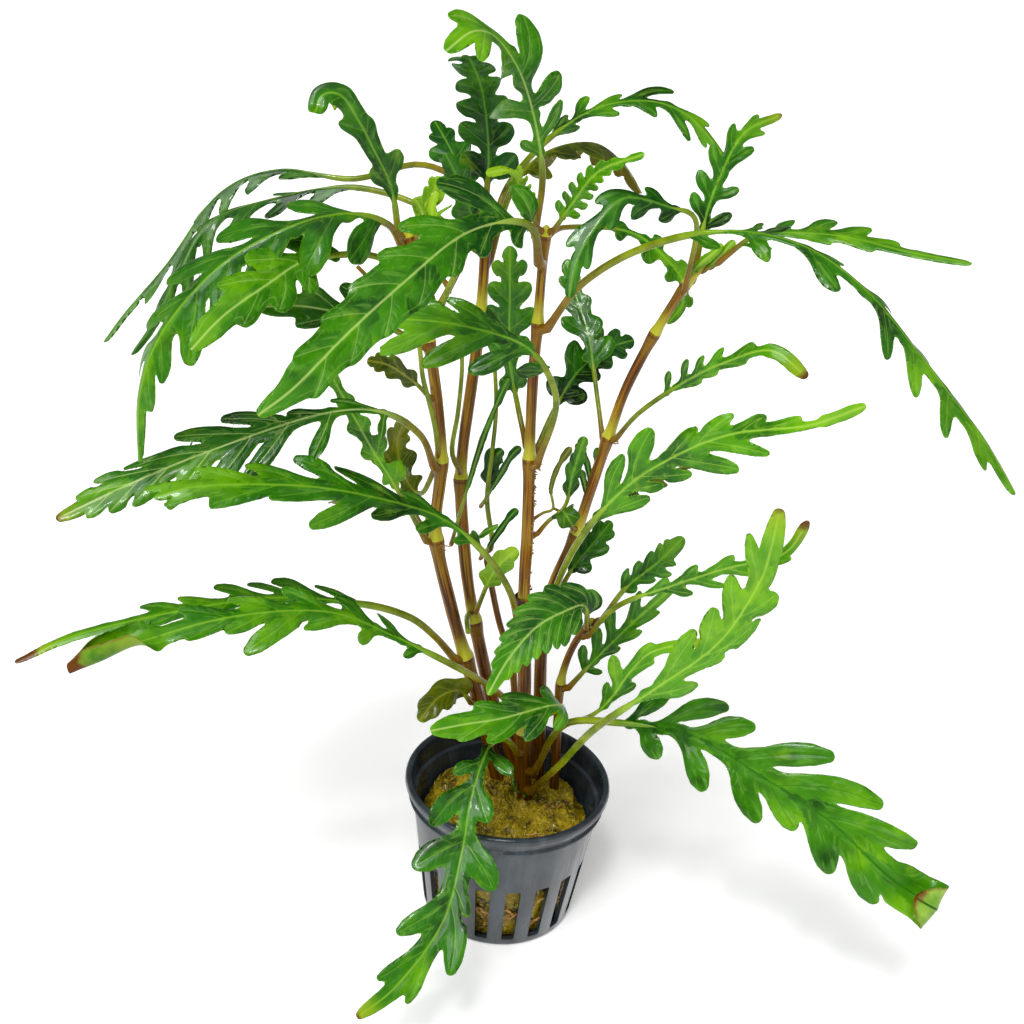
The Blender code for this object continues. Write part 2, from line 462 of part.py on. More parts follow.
def pot_profile():
    """Half of the pot's section, down its outer side from the lip and back up inside."""
    rim = POT_RIM_RADIUS
    band_low = POT_HEIGHT - BAND_HEIGHT
    return [(rim - 1.3, POT_HEIGHT), (rim - 0.3, POT_HEIGHT - 0.1), (rim, POT_HEIGHT - 0.8),
            (rim, POT_HEIGHT - LIP_HEIGHT), (rim - 1.0, POT_HEIGHT - LIP_HEIGHT - 0.2),
            (rim - 1.5, band_low), (BAND_BASE_RADIUS, band_low - 0.4), (POT_BASE_RADIUS + 0.1, 0.7),
            (POT_BASE_RADIUS - 0.7, 0.0), (0.0, 0.0), (0.0, POT_FLOOR),
            (POT_BASE_RADIUS - POT_WALL, POT_FLOOR), (BAND_BASE_RADIUS - POT_WALL, band_low - 0.8),
            (rim - 1.5 - POT_WALL + 0.3, band_low + 0.2), (rim - 2.0, POT_HEIGHT - 1.0)]


def inner_radius(height):
    """The inside radius of the pot's tapered wall."""
    low, high = POT_BASE_RADIUS - POT_WALL, BAND_BASE_RADIUS - POT_WALL
    return low + (high - low) * (height - POT_FLOOR) / (POT_HEIGHT - BAND_HEIGHT - 0.8 - POT_FLOOR)


def wedge(mesh, low, high, inner, outer, width_low, width_high, angle):
    """A radial box, narrower at its foot, turned about the pot's axis."""
    made = bmesh.ops.create_cube(mesh, size=1.0)["verts"]
    for vertex in made:
        width = width_high if vertex.co.z > 0 else width_low
        radius = outer if vertex.co.x > 0 else inner
        height = high if vertex.co.z > 0 else low
        vertex.co = Vector((radius, math.copysign(width / 2, vertex.co.y), height)) * MM
    bmesh.ops.rotate(mesh, verts=made, cent=(0, 0, 0), matrix=Matrix.Rotation(angle, 3, "Z"))


def add_cutter(name, mesh, cutters):
    data = bpy.data.meshes.new(name)
    mesh.to_mesh(data)
    mesh.free()
    cutter = add_object(name, data, cutters)
    cutter.hide_render = True
    cutter.display_type = "WIRE"
    return cutter


def cut(item, cutter):
    boolean = item.modifiers.new("cut_" + cutter.name, "BOOLEAN")
    boolean.operation = "DIFFERENCE"
    boolean.solver = "EXACT"
    boolean.object = cutter


def build_pot(collection, cutters):
    profile = pot_profile()
    pot = add_mesh("pot", [(r, 0.0, z) for r, z in profile], [], collection, new_material(POT_FINISH))
    edges = bmesh.new()
    edges.from_mesh(pot.data)
    edges.verts.ensure_lookup_table()
    for k in range(len(profile)):
        edges.edges.new((edges.verts[k], edges.verts[(k + 1) % len(profile)]))
    on_axis = [e for e in edges.edges if all(abs(v.co.x) < 1e-6 for v in e.verts)]
    for edge in on_axis:
        edges.edges.remove(edge)
    edges.to_mesh(pot.data)
    edges.free()
    screw = pot.modifiers.new("turn", "SCREW")
    screw.axis = "Z"
    screw.steps = POT_STEPS
    screw.render_steps = POT_STEPS
    screw.use_merge_vertices = True
    screw.merge_threshold = 0.00001
    weld = pot.modifiers.new("close", "WELD")
    weld.merge_threshold = 0.00001
    slots = bmesh.new()
    for k in range(SLOT_COUNT):
        wedge(slots, SLOT_LOW, SLOT_HIGH, POT_BASE_RADIUS - 4, POT_RIM_RADIUS + 3, SLOT_WIDTH_LOW,
              SLOT_WIDTH_HIGH, 2 * math.pi * k / SLOT_COUNT)
    for k in range(FLOOR_SLOT_COUNT):
        wedge(slots, -2.0, POT_FLOOR + 1.0, FLOOR_SLOT_INNER, FLOOR_SLOT_OUTER, FLOOR_SLOT_WIDTH,
              FLOOR_SLOT_WIDTH, 2 * math.pi * k / FLOOR_SLOT_COUNT)
    cut(pot, add_cutter("pot_slots", slots, cutters))
    return pot


def wool_lump(angle, height):
    """How far the wool stands out or falls in, as a share of a millimetre."""
    return 0.5 * math.sin(3 * angle + 0.21 * height) + 0.5 * math.sin(5 * angle - 0.33 * height + 1.0)


def wool_top(radius, angle):
    """The height of the wool's rough top, higher to the left of the stems."""
    x, y = radius * math.cos(angle), radius * math.sin(angle)
    reach = (x - HUMP_CENTRE[0]) ** 2 + (y - HUMP_CENTRE[1]) ** 2
    hump = HUMP_HEIGHT * math.exp(-reach / HUMP_SPREAD)
    return WOOL_TOP + hump + 0.8 * math.sin(4 * angle + 0.3 * radius) - 0.004 * radius ** 2


def build_wool(collection, cutters):
    angles = [2 * math.pi * k / WOOL_SEGMENTS for k in range(WOOL_SEGMENTS)]
    low = POT_FLOOR + GAP
    points, rings = [], []
    for height in (low, *WOOL_SIDE_RINGS):
        rings.append(len(points))
        for angle in angles:
            radius = inner_radius(height) - WOOL_CLEARANCE - WOOL_ROUGHNESS * (1 + wool_lump(angle, height))
            points.append((radius * math.cos(angle), radius * math.sin(angle), height))
    for share in WOOL_TOP_SHARES:
        rings.append(len(points))
        for k, angle in enumerate(angles):
            edge = inner_radius(WOOL_TOP) - WOOL_TOP_INSET - 0.8 * wool_lump(angle, WOOL_TOP)
            radius = (edge - WOOL_SIDE_GAPS.get(k, 0.0)) * share
            points.append((radius * math.cos(angle), radius * math.sin(angle), wool_top(radius, angle)))
    faces = []
    for a, b in zip(rings, rings[1:]):
        for k in range(WOOL_SEGMENTS):
            after = (k + 1) % WOOL_SEGMENTS
            faces.append([a + k, a + after, b + after])
            faces.append([a + k, b + after, b + k])
    faces.append([rings[0] + k for k in reversed(range(WOOL_SEGMENTS))])
    centre = len(points)
    points.append((0.0, 0.0, wool_top(0.0, 0.0)))
    for k in range(WOOL_SEGMENTS):
        faces.append([rings[-1] + k, rings[-1] + (k + 1) % WOOL_SEGMENTS, centre])
    wool = add_mesh("rockwool", points, faces, collection, new_material(WOOL_FINISH))
    sockets = bmesh.new()
    for stem in STEMS:
        if stem.parent is not None:
            continue
        top, foot = np.array(stem.route[0], float), stem_line(stem)[0][0]
        way = unit(top - foot)
        low_end, high_end = top - way * SOCKET_DEPTH, top + way * SOCKET_RISE
        radius = (stem.foot + GAP) / math.cos(math.pi / SOCKET_SIDES)
        turn = Vector((0, 0, 1)).rotation_difference(Vector(way)).to_matrix().to_4x4()
        middle = Matrix.Translation(Vector((low_end + high_end) / 2) * MM)
        bmesh.ops.create_cone(sockets, cap_ends=True, segments=SOCKET_SIDES, radius1=radius * MM,
                              radius2=radius * MM, depth=np.linalg.norm(high_end - low_end) * MM,
                              matrix=middle @ turn)
    cut(wool, add_cutter("stem_sockets", sockets, cutters))
    return wool


def leaf_material(name, green, pale, olive):
    if name in PALE_LEAVES:
        return pale
    if name in OLIVE_LEAVES:
        return olive
    return green


def main():
    clear_scene()
    plant = new_collection("hygrophila_pinnatifida")
    cutters = new_collection("cutters")
    build_pot(plant, cutters)
    build_wool(plant, cutters)
    stem_material = new_material(STEM_FINISH)
    for stem in STEMS:
        build_stem(stem, plant, stem_material)
    green, pale, olive = (new_material(f) for f in (LEAF_FINISH, PALE_FINISH, OLIVE_FINISH))
    for leaf in LEAVES:
        build_leaf(leaf, plant, leaf_material(leaf.name, green, pale, olive))


main()
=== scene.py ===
"""A potted water plant, Hygrophila pinnatifida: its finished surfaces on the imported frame.

Every leaf is a thin closed sheet with its real lobes, veins and margin, on a round midrib and
petiole. Lengths are in millimetres until a mesh is written, in metres. The stems' and leaves'
routes repeat those of the part's own source.
"""
import json
import math
from collections import namedtuple

import bmesh
import bpy
import numpy as np
from mathutils import Matrix, Vector, noise

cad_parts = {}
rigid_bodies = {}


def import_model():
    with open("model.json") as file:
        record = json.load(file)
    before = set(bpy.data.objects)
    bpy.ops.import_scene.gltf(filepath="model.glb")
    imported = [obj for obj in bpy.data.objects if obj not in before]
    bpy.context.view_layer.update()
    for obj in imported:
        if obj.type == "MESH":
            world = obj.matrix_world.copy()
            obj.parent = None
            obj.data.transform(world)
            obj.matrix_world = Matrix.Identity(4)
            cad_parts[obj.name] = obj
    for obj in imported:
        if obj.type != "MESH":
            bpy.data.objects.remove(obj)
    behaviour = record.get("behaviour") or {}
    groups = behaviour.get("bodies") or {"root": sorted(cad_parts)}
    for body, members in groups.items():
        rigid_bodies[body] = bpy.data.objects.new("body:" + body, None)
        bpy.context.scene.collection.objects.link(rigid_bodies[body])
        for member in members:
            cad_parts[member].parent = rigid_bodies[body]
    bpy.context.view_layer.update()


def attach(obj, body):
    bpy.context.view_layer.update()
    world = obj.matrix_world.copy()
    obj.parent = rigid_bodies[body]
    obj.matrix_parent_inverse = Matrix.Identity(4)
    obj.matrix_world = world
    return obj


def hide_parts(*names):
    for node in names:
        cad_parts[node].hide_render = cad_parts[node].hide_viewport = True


# A millimetre in metres, the gap between pieces, where the random draws start, a whole turn, and the
# range of the random phases
MM = 0.001
GAP = 0.3
SEED = 11
WHOLE_TURN = 2 * math.pi
PHASES = 6.28

# name, axis points from the wool or the parent stem upward, radius at the foot and at the top,
# heights of the swollen nodes, the stem that carries it (None where it stands in the wool)
Stem = namedtuple("Stem", "name route foot top nodes parent")

STEMS = [
    Stem("stem_left", [(-3, 12, 33), (-11, 11, 61), (-19, 10, 86), (-24, 11, 106), (-24, 12, 128),
                       (-29, 13, 159), (-36, 14, 185)], 2.0, 1.2, (72, 106, 128, 159, 184), None),
    Stem("stem_left_side_shoot", [(-27, 13, 161), (-25, 15, 170), (-22, 18, 177), (-20.5, 19, 184)],
         0.9, 0.7, (), "stem_left"),
    Stem("stem_back", [(1.5, 17.5, 33), (-7, 18, 56), (-13, 18, 79), (-17, 18, 101), (-19, 19, 120),
                       (-18, 21, 143), (-17, 23, 164), (-17, 24, 190)], 2.0, 1.3, (79, 120, 164, 189), None),
    Stem("stem_front", [(5, 4, 32), (3, 4, 56), (0, 3, 93), (-1, 2, 115), (-2, 2, 135),
                        (-3, 1, 155), (-3, 1, 170), (-3, 0, 192)], 2.1, 1.1, (54, 91, 135, 170, 191), None),
    Stem("stem_right", [(8.5, 12.5, 33), (6, 12, 73), (7, 11, 93), (12, 10, 112), (17, 8, 140),
                        (21, 7, 156), (31, 5, 181), (40, 4, 190)], 1.9, 1.0, (112, 140, 168, 181), None),
    Stem("stem_low_right", [(13, 9, 33), (12, 8, 57), (12, 8, 69), (14, 6, 80), (18, 3, 90)],
         1.3, 0.9, (68, 89), None),
    Stem("stem_inner", [(3, 10.5, 33), (0, 13, 57), (-2, 14, 69), (-6, 15, 80), (-11, 15, 99)],
         1.1, 0.8, (69,), None),
]

# Ways that a leaf's upper face may look
UP = (0.0, -0.25, 1.0)
TO_VIEW = (0.0, -0.9, 0.45)
TILTED = (0.0, -0.6, 0.8)

# name, stem and height of the node it grows from, midrib points from there to the tip, share of
# the length where the blade starts, lobe lengths on each side, half width of the web between the
# lobes, way the upper face looks at the base and at the tip, forward lean of the lobes in
# degrees, drop of a lobe's end for each millimetre of its length, petiole radius
Leaf = namedtuple("Leaf", "name stem height route blade left right web face face_tip lean droop petiole",
                  defaults=(TO_VIEW, None, 40, 0.0, 0.8))

LEAVES = [
    Leaf("leaf_crown", "stem_front", 189, [(-5, 1, 204), (-10, -4, 222), (-16, -10, 232), (-21, -18, 235),
         (-26, -26, 232)], 0.22, (4, 12, 14, 8, 4), (8, 10, 13, 7, 3), 2.6, TO_VIEW, (0.3, -0.5, 0.8),
         50, 0.0, 0.9),
    Leaf("leaf_crown_back", "stem_back", 187, [(-18, 27, 200), (-20, 24, 214), (-23, 14, 224),
         (-25, 6, 226)], 0.1, (9, 9, 8, 7, 6, 5), (9, 8, 7, 6, 6, 4), 2.6, TO_VIEW, (0, -0.6, -0.8), 45,
         0.0, 0.9),
    Leaf("leaf_crown_back_small", "stem_back", 185, [(-24, 36, 192), (-29, 44, 198), (-33, 50, 202)],
         0.3, (5, 7, 4), (5, 6, 4), 2.6, TILTED, None, 45, 0.1, 0.8),
    Leaf("leaf_crown_back_plain", "stem_back", 181, [(-21, 14, 190), (-24, 10, 198), (-27, 8, 204)],
         0.3, (5, 4), (5, 4), 2.6, lean=45),
    Leaf("leaf_upper_left_curled", "stem_left", 183, [(-39, 9, 195), (-43, 6, 204), (-46, 4, 210),
         (-50, 2, 216), (-54, 0, 216), (-55, -3, 211)], 0.14, (3, 6, 6, 4, 3), (8, 4, 4, 3, 3), 2.6,
         lean=50, petiole=0.9),
    Leaf("leaf_left_arch_inner", "stem_back", 178, [(-34, 29, 186), (-52, 33, 188), (-70, 31, 184),
         (-84, 23, 179), (-90, 16, 168), (-95, 11, 157), (-100, 8, 149)], 0.3, (5, 7, 8, 7, 6, 4),
         (5, 7, 7, 6, 5, 3), 1.8, UP, None, 40, 0.3, 0.9),
    Leaf("leaf_left_arch_high", "stem_back", 189, [(-25, 30, 193), (-36, 37, 194), (-52, 41, 188),
         (-70, 40, 189), (-84, 35, 183), (-95, 25, 167), (-103, 16, 157), (-107, 10, 151)], 0.34,
         (4, 6, 8, 9, 9, 8, 6, 4), (4, 6, 8, 8, 8, 7, 6, 4), 1.8, UP, (-0.5, -0.3, 0.8), 38, 0.3, 0.9),
    Leaf("leaf_left_arch_drooping", "stem_left", 180, [(-39, 4, 188), (-46, -5, 193), (-57, -12, 192),
         (-71, -18, 185), (-81, -24, 175), (-87, -27, 165), (-90, -29, 153), (-90, -31, 140)],
         0.14, (6, 13, 10, 12, 14, 16, 9, 7, 5), (7, 6, 10, 15, 8, 10, 6, 5, 4), 2.4, TILTED,
         (-0.6, -0.7, 0.3), 38, 0.25, 1.0),
    Leaf("leaf_left_pale", "stem_left", 171, [(-41, 1, 181), (-54, -12, 183), (-61, -26, 181),
         (-68, -36, 177), (-73, -44, 172)], 0.4, (8, 7, 6, 5, 3), (7, 6, 6, 5, 3), 3.4, lean=38,
         petiole=0.9),
    Leaf("leaf_front_big", "stem_front", 184, [(-6, -8, 193), (-12, -15, 196), (-21, -26, 195),
         (-31, -42, 189), (-40, -54, 182), (-48, -66, 175), (-54, -72, 171)], 0.16,
         (5, 6, 8, 9, 7, 10, 8, 4), (9, 15, 12, 9, 11, 9, 7, 4), 4.2, lean=36, petiole=1.1),
    Leaf("leaf_left_short", "stem_left", 157, [(-39, 6, 163), (-48, 0, 167), (-57, -6, 170),
         (-66, -12, 171)], 0.34, (9, 9, 7, 4), (8, 7, 6, 4), 3.4, lean=42, petiole=0.9),
    Leaf("leaf_front_dark", "stem_front", 133, [(3, -5, 150), (0, -10, 161), (-6, -13, 168),
         (-16, -14, 171), (-26, -14, 172), (-36, -15, 172)], 0.48, (6, 8, 12, 13, 8, 5), (5, 8, 9, 8, 6, 4),
         3.2, lean=36, petiole=0.9),
    Leaf("leaf_left_middle", "stem_left", 126, [(-29, 3, 137), (-38, -4, 145), (-52, -12, 146),
         (-75, -22, 139), (-91, -30, 133), (-105, -38, 127)], 0.2, (6, 10, 14, 15, 14, 11, 8, 5),
         (4, 8, 15, 15, 13, 10, 7, 4), 2.8, TILTED, None, 38, 0.1, 1.0),
    Leaf("leaf_left_middle_low", "stem_front", 89, [(-4, -6, 101), (-10, -10, 112), (-19, -14, 122),
         (-30, -18, 128), (-50, -27, 135), (-72, -35, 137), (-83, -39, 135)], 0.26,
         (4, 5, 8, 13, 13, 14, 11, 8, 5), (4, 6, 12, 15, 13, 10, 8, 7, 4), 2.8, TILTED, None, 38, 0.1, 1.0),
    Leaf("leaf_left_brown_under", "stem_left", 104, [(-32, 17, 110), (-42, 24, 109), (-54, 30, 103)],
         0.25, (6, 8, 7, 5), (6, 8, 7, 5), 3.2, (0, 0.5, 0.9), None, 40, 0.2, 0.9),
    Leaf("leaf_left_low_long", "stem_left", 71, [(-22, 2, 81), (-29, -4, 90), (-41, -10, 96),
         (-61, -18, 100), (-81, -26, 99), (-103, -34, 95), (-116, -40, 90)], 0.3,
         (6, 8, 13, 9, 9, 8, 6, 4, 2), (10, 11, 9, 12, 10, 8, 7, 5, 2), 2.3, (0, -0.4, 0.9), None, 34, 0.1,
         1.1),
    Leaf("leaf_left_low_rolled", "stem_front", 62, [(-7, -8, 74), (-17, -18, 86), (-30, -26, 97),
         (-45, -34, 107), (-65, -43, 109), (-84, -51, 105), (-97, -57, 99)], 0.3,
         (3, 2, 5, 7, 9, 9, 9, 9, 8, 7), (2, 3, 5, 6, 8, 8, 8, 8, 7, 6), 2.3, (0, -0.5, 0.85), None, 34, 0.1,
         1.0),
    Leaf("leaf_olive_low", "stem_left", 58, [(-15, 1, 66), (-20, -5, 67), (-24, -10, 63)], 0.2, (5, 6, 4),
         (5, 5, 4), 3.6, lean=35),
    Leaf("leaf_over_rim", "stem_front", 58, [(12, -6, 68), (8, -15, 74), (-3, -22, 74), (-12, -26, 74),
         (-20, -30, 74)], 0.3, (6, 7, 8, 7, 4), (6, 7, 7, 6, 4), 3.4, TILTED, None, 40, 0.0, 0.8),
    Leaf("leaf_front_hanging", "stem_front", 48, [(-2, -9, 59), (-6, -20, 63), (-9, -32, 56), (-10, -40, 47),
         (-13, -52, 35), (-22, -62, 24), (-31, -68, 18)], 0.2, (9, 6, 14, 6, 12, 8), (5, 12, 11, 6, 10, 6),
         2.8, (0, -0.6, 0.8), (0, -0.9, 0.4), 38, 0.0, 1.0),
    Leaf("leaf_front_fern", "stem_low_right", 88, [(15, -5, 98), (10, -10, 99), (3, -16, 97), (-3, -22, 91),
         (-7, -27, 84)], 0.16, (5, 6, 7, 7, 6, 4, 3), (4, 5, 6, 6, 5, 4, 2), 2.6),
    Leaf("leaf_right_low_big", "stem_front", 42, [(13, -5, 62), (26, -12, 69), (45, -18, 71), (62, -24, 65),
         (79, -30, 58), (95, -36, 47), (107, -38, 41)], 0.26, (10, 14, 13, 16, 17, 15, 11),
         (8, 14, 16, 8, 14, 13, 11), 3.2, lean=42, petiole=1.1),
    Leaf("leaf_right_pale_rising", "stem_front", 36, [(13, -11, 54), (20, -20, 72), (32, -28, 90),
         (44, -36, 109), (50, -40, 127), (51, -42, 137), (51, -44, 148)], 0.4, (4, 6, 9, 10, 9, 7, 4),
         (6, 10, 11, 11, 10, 8, 4), 2.4, lean=35, petiole=1.1),
    Leaf("leaf_right_pale_thin", "stem_low_right", 55, [(20, -1, 63), (24, -5, 71), (29, -6, 82),
         (34, -8, 89), (46, -10, 94)], 0.25, (4, 8, 4, 3, 2), (4, 8, 4, 3, 2), 1.7, lean=35, petiole=0.7),
    Leaf("leaf_right_feathery", "stem_low_right", 66, [(19, 4, 76), (24, 3, 84), (29, 0, 93), (37, -4, 106)],
         0.15, (6, 9, 10, 9, 7, 4), (6, 9, 8, 9, 8, 5), 1.5, lean=44),
    Leaf("leaf_right_feathery_high", "stem_low_right", 90, [(25, 2, 100), (32, -1, 110), (37, -4, 119)],
         0.3, (5, 5, 4, 4), (6, 8, 7, 4), 2.6),
    Leaf("leaf_right_narrow", "stem_low_right", 85, [(23, -7, 100), (35, -14, 111), (46, -20, 120),
         (57, -26, 128), (61, -28, 138)], 0.3, (2, 4, 5, 4, 3, 2, 2), (3, 7, 6, 4, 3, 2, 2), 1.3, lean=30),
    Leaf("leaf_right_middle", "stem_right", 84, [(8, 1, 101), (12, -6, 116), (21, -13, 134), (31, -19, 146),
         (42, -25, 155), (57, -31, 161), (67, -37, 169)], 0.36, (7, 9, 6, 8, 5, 4, 3, 2),
         (5, 10, 11, 10, 5, 3, 2, 2), 2.2, lean=36, petiole=1.0),
    Leaf("leaf_right_brown_under", "stem_right", 110, [(19, 20, 113), (31, 32, 117), (42, 44, 117)],
         0.3, (5, 7, 6, 4), (5, 7, 6, 4), 2.6, (0, 0.5, 0.9), None, 40, 0.2, 0.8),
    Leaf("leaf_right_thin_brown_tip", "stem_right", 139, [(23, 0, 149), (32, -6, 160), (40, -10, 167),
         (49, -14, 172), (57, -18, 168)], 0.36, (2, 4, 4, 4, 3, 2, 3), (3, 5, 5, 4, 3, 2, 3), 1.4, lean=32,
         petiole=0.7),
    Leaf("leaf_right_long_arch", "stem_front", 168, [(6, -6, 181), (18, -12, 192), (34, -18, 199),
         (50, -24, 199), (64, -30, 192), (76, -36, 181), (90, -42, 167), (99, -44, 156)], 0.3,
         (3, 4, 4, 4, 6, 4, 3, 3, 2), (5, 7, 9, 5, 8, 7, 6, 4, 2), 1.5, (0.2, -0.4, 0.9), (0.8, -0.5, 0.4),
         30, 0.2, 1.0),
    Leaf("leaf_right_high", "stem_right", 186, [(43, -2, 194), (50, -4, 196), (62, -7, 197), (75, -11, 196),
         (88, -16, 196)], 0.16, (4, 7, 9, 8, 6, 3, 2), (3, 5, 6, 5, 3, 2, 2), 1.9, (0, -0.5, 0.85), None, 34,
         0.1, 0.7),
    Leaf("leaf_right_crown", "stem_right", 182, [(33, 10, 192), (35, 13, 201), (40, 18, 212), (49, 24, 216)],
         0.2, (8, 9, 7, 5, 4, 2), (7, 8, 9, 7, 5, 3), 2.3, lean=42),
    Leaf("leaf_back_arch_right", "stem_back", 182, [(-13, 32, 192), (-4, 42, 202), (8, 50, 209),
         (21, 52, 211), (31, 50, 208), (40, 46, 200)], 0.36, (5, 6, 11, 6, 4, 3), (4, 6, 8, 12, 8, 4), 2.0,
         (0, -0.5, 0.85), None, 34, 0.1, 0.9),
    Leaf("leaf_back_arch_olive", "stem_back", 175, [(-12, 36, 190), (-5, 48, 197), (7, 60, 198),
         (16, 66, 192), (22, 68, 184)], 0.3, (5, 7, 7, 6, 4), (6, 8, 8, 7, 4), 2.4, (0, 0.3, 0.9), None, 40,
         0.5, 0.9),
    Leaf("leaf_young_right", "stem_front", 191.5, [(2, -4, 198), (7, -9, 207), (16, -15, 213)], 0.1,
         (2, 3, 3, 3, 2, 2), (2, 3, 3, 3, 2, 2), 1.1, petiole=0.6),
    Leaf("leaf_young_left", "stem_front", 191.5, [(-9, -4, 200), (-12, -7, 205), (-17, -11, 205)], 0.1,
         (2, 3, 3, 3, 2), (2, 3, 3, 3, 2), 1.1, petiole=0.6),
    Leaf("leaf_looping", "stem_front", 190, [(2, 7, 190), (12, 13, 189), (19, 15, 187), (25, 15, 183),
         (30, 14, 178), (31, 13.5, 172), (28, 13, 167)], 0.32, (3, 4, 4, 3), (3, 5, 4, 3), 1.1,
         (0, -0.8, 0.6),
         None, 40, 0.2, 0.7),
    Leaf("leaf_hanging_back_right", "stem_right", 179, [(30, -2, 196), (23, -6, 200), (13, -10, 202),
         (7, -15, 196), (4, -19, 190), (3, -23, 183)], 0.34, (6, 9, 9, 8, 6, 4), (3, 5, 6, 7, 6, 4), 2.6,
         TILTED, TO_VIEW, 42, 0.2, 0.7),
    Leaf("leaf_inner_right_high", "stem_right", 137, [(13, 18, 147), (10, 26, 158), (6, 33, 166),
         (3, 38, 173)], 0.36, (3, 8, 5, 4), (8, 5, 4, 3), 2.2, petiole=0.7),
    Leaf("leaf_inner_right", "stem_front", 134, [(3, 13, 142), (8, 22, 149), (15, 30, 153), (22, 36, 154)],
         0.3, (6, 9, 8, 5), (7, 7, 6, 5), 2.8, lean=42),
    Leaf("leaf_inner_pale_midrib", "stem_front", 136, [(-6, 12, 143), (-9, 13, 155), (-10, 13, 169),
         (-11, 12, 183)], 0.25, (4, 7, 8, 7, 5), (4, 7, 8, 7, 5), 2.4, lean=42),
    Leaf("leaf_yellow", "stem_back", 82, [(-9, 8, 97), (-6, 6, 103), (-3, 5, 107)], 0.4, (4, 4), (4, 4),
         2.6, lean=35, petiole=0.7),
    Leaf("leaf_left_narrow_rising", "stem_left", 105, [(-33, 4, 120), (-40, 2, 132), (-45, 0, 142),
         (-50, -2, 152), (-53, -4, 158)], 0.3, (3, 4, 4, 3, 3), (6, 6, 4, 3, 2), 1.6, lean=35),
    Leaf("leaf_inner_left_olive", "stem_left", 124, [(-29, 22, 112), (-34, 30, 112), (-37, 34, 120),
         (-35, 33, 128)], 0.4, (4, 6, 4), (5, 6, 4), 2.6),
    Leaf("leaf_small_olive_left", "stem_left", 144, [(-31, 6, 149), (-37, 3, 154), (-42, 0, 156)], 0.3,
         (3, 4, 3), (3, 4, 3), 1.8, lean=35, petiole=0.6),
    Leaf("leaf_narrow_upright", "stem_front", 113, [(4, 4, 116), (8, 6, 120), (9, 7, 128), (11, 8, 138)],
         0.42, (3, 4, 3, 2), (4, 3, 3, 2), 1.5, lean=25, petiole=0.6),
    Leaf("leaf_inner_left_light", "stem_left_side_shoot", 171, [(-29, 21, 173), (-31, 20, 168),
         (-30, 19, 160)], 0.3, (4, 4, 3), (4, 5, 3), 2.0, lean=35, petiole=0.6),
    Leaf("leaf_curly_dark", "stem_right", 113, [(8, 5, 118), (7, 1, 122), (9, -2, 125)], 0.3, (4, 4), (4, 4),
         2.4, lean=35, petiole=0.6),
    Leaf("leaf_inner_right_low", "stem_right", 91, [(12, 16, 97), (17, 20, 103), (21, 23, 108)], 0.25,
         (5, 6, 4), (5, 6, 4), 2.4, petiole=0.7),
    Leaf("shoot_tip_left", "stem_left", 184.5, [(-32, 17, 189), (-30, 18, 192), (-29, 19, 196)], 0.15,
         (4, 4, 3), (4, 4, 3), 1.8, lean=35, petiole=0.7),
]


# A lobe: where its vein leaves the midrib, how far along and how far out its tip lies, its width.
# left and right are the two sides, in millimetres along the midrib from its foot. web is half the
# width of the blade between lobes at its start, middle and end. shift moves the midrib sideways at
# the blade's start and end. end is the last lobe's length and width. dry is where the brown tip
# starts. curl rolls the end up and wrap rolls its sides together: where that starts, its radius. more
# is the length that a roll takes up, sag drops the side margins, slit is the least gap between lobes,
# finish names the colours, margin is how far the edge strays and wave how much the blade does.
FUSED = -1.0
Look = namedtuple("Look", "left right web shift end dry curl more wrap sag slit finish margin wave",
                  defaults=(None, None, None, (0.0, 0.0), None, None, None, 0.0, None, 0.0, 0.85, "fresh",
                            0.05, 1.0))


def comb(roots):
    """Narrow lobes at even steps, shorter and shorter towards the tip."""
    return [(root, root + 2.8, 2.9 + 0.12 * k - 0.08 * k * k, 2.1) for k, root in enumerate(roots)]


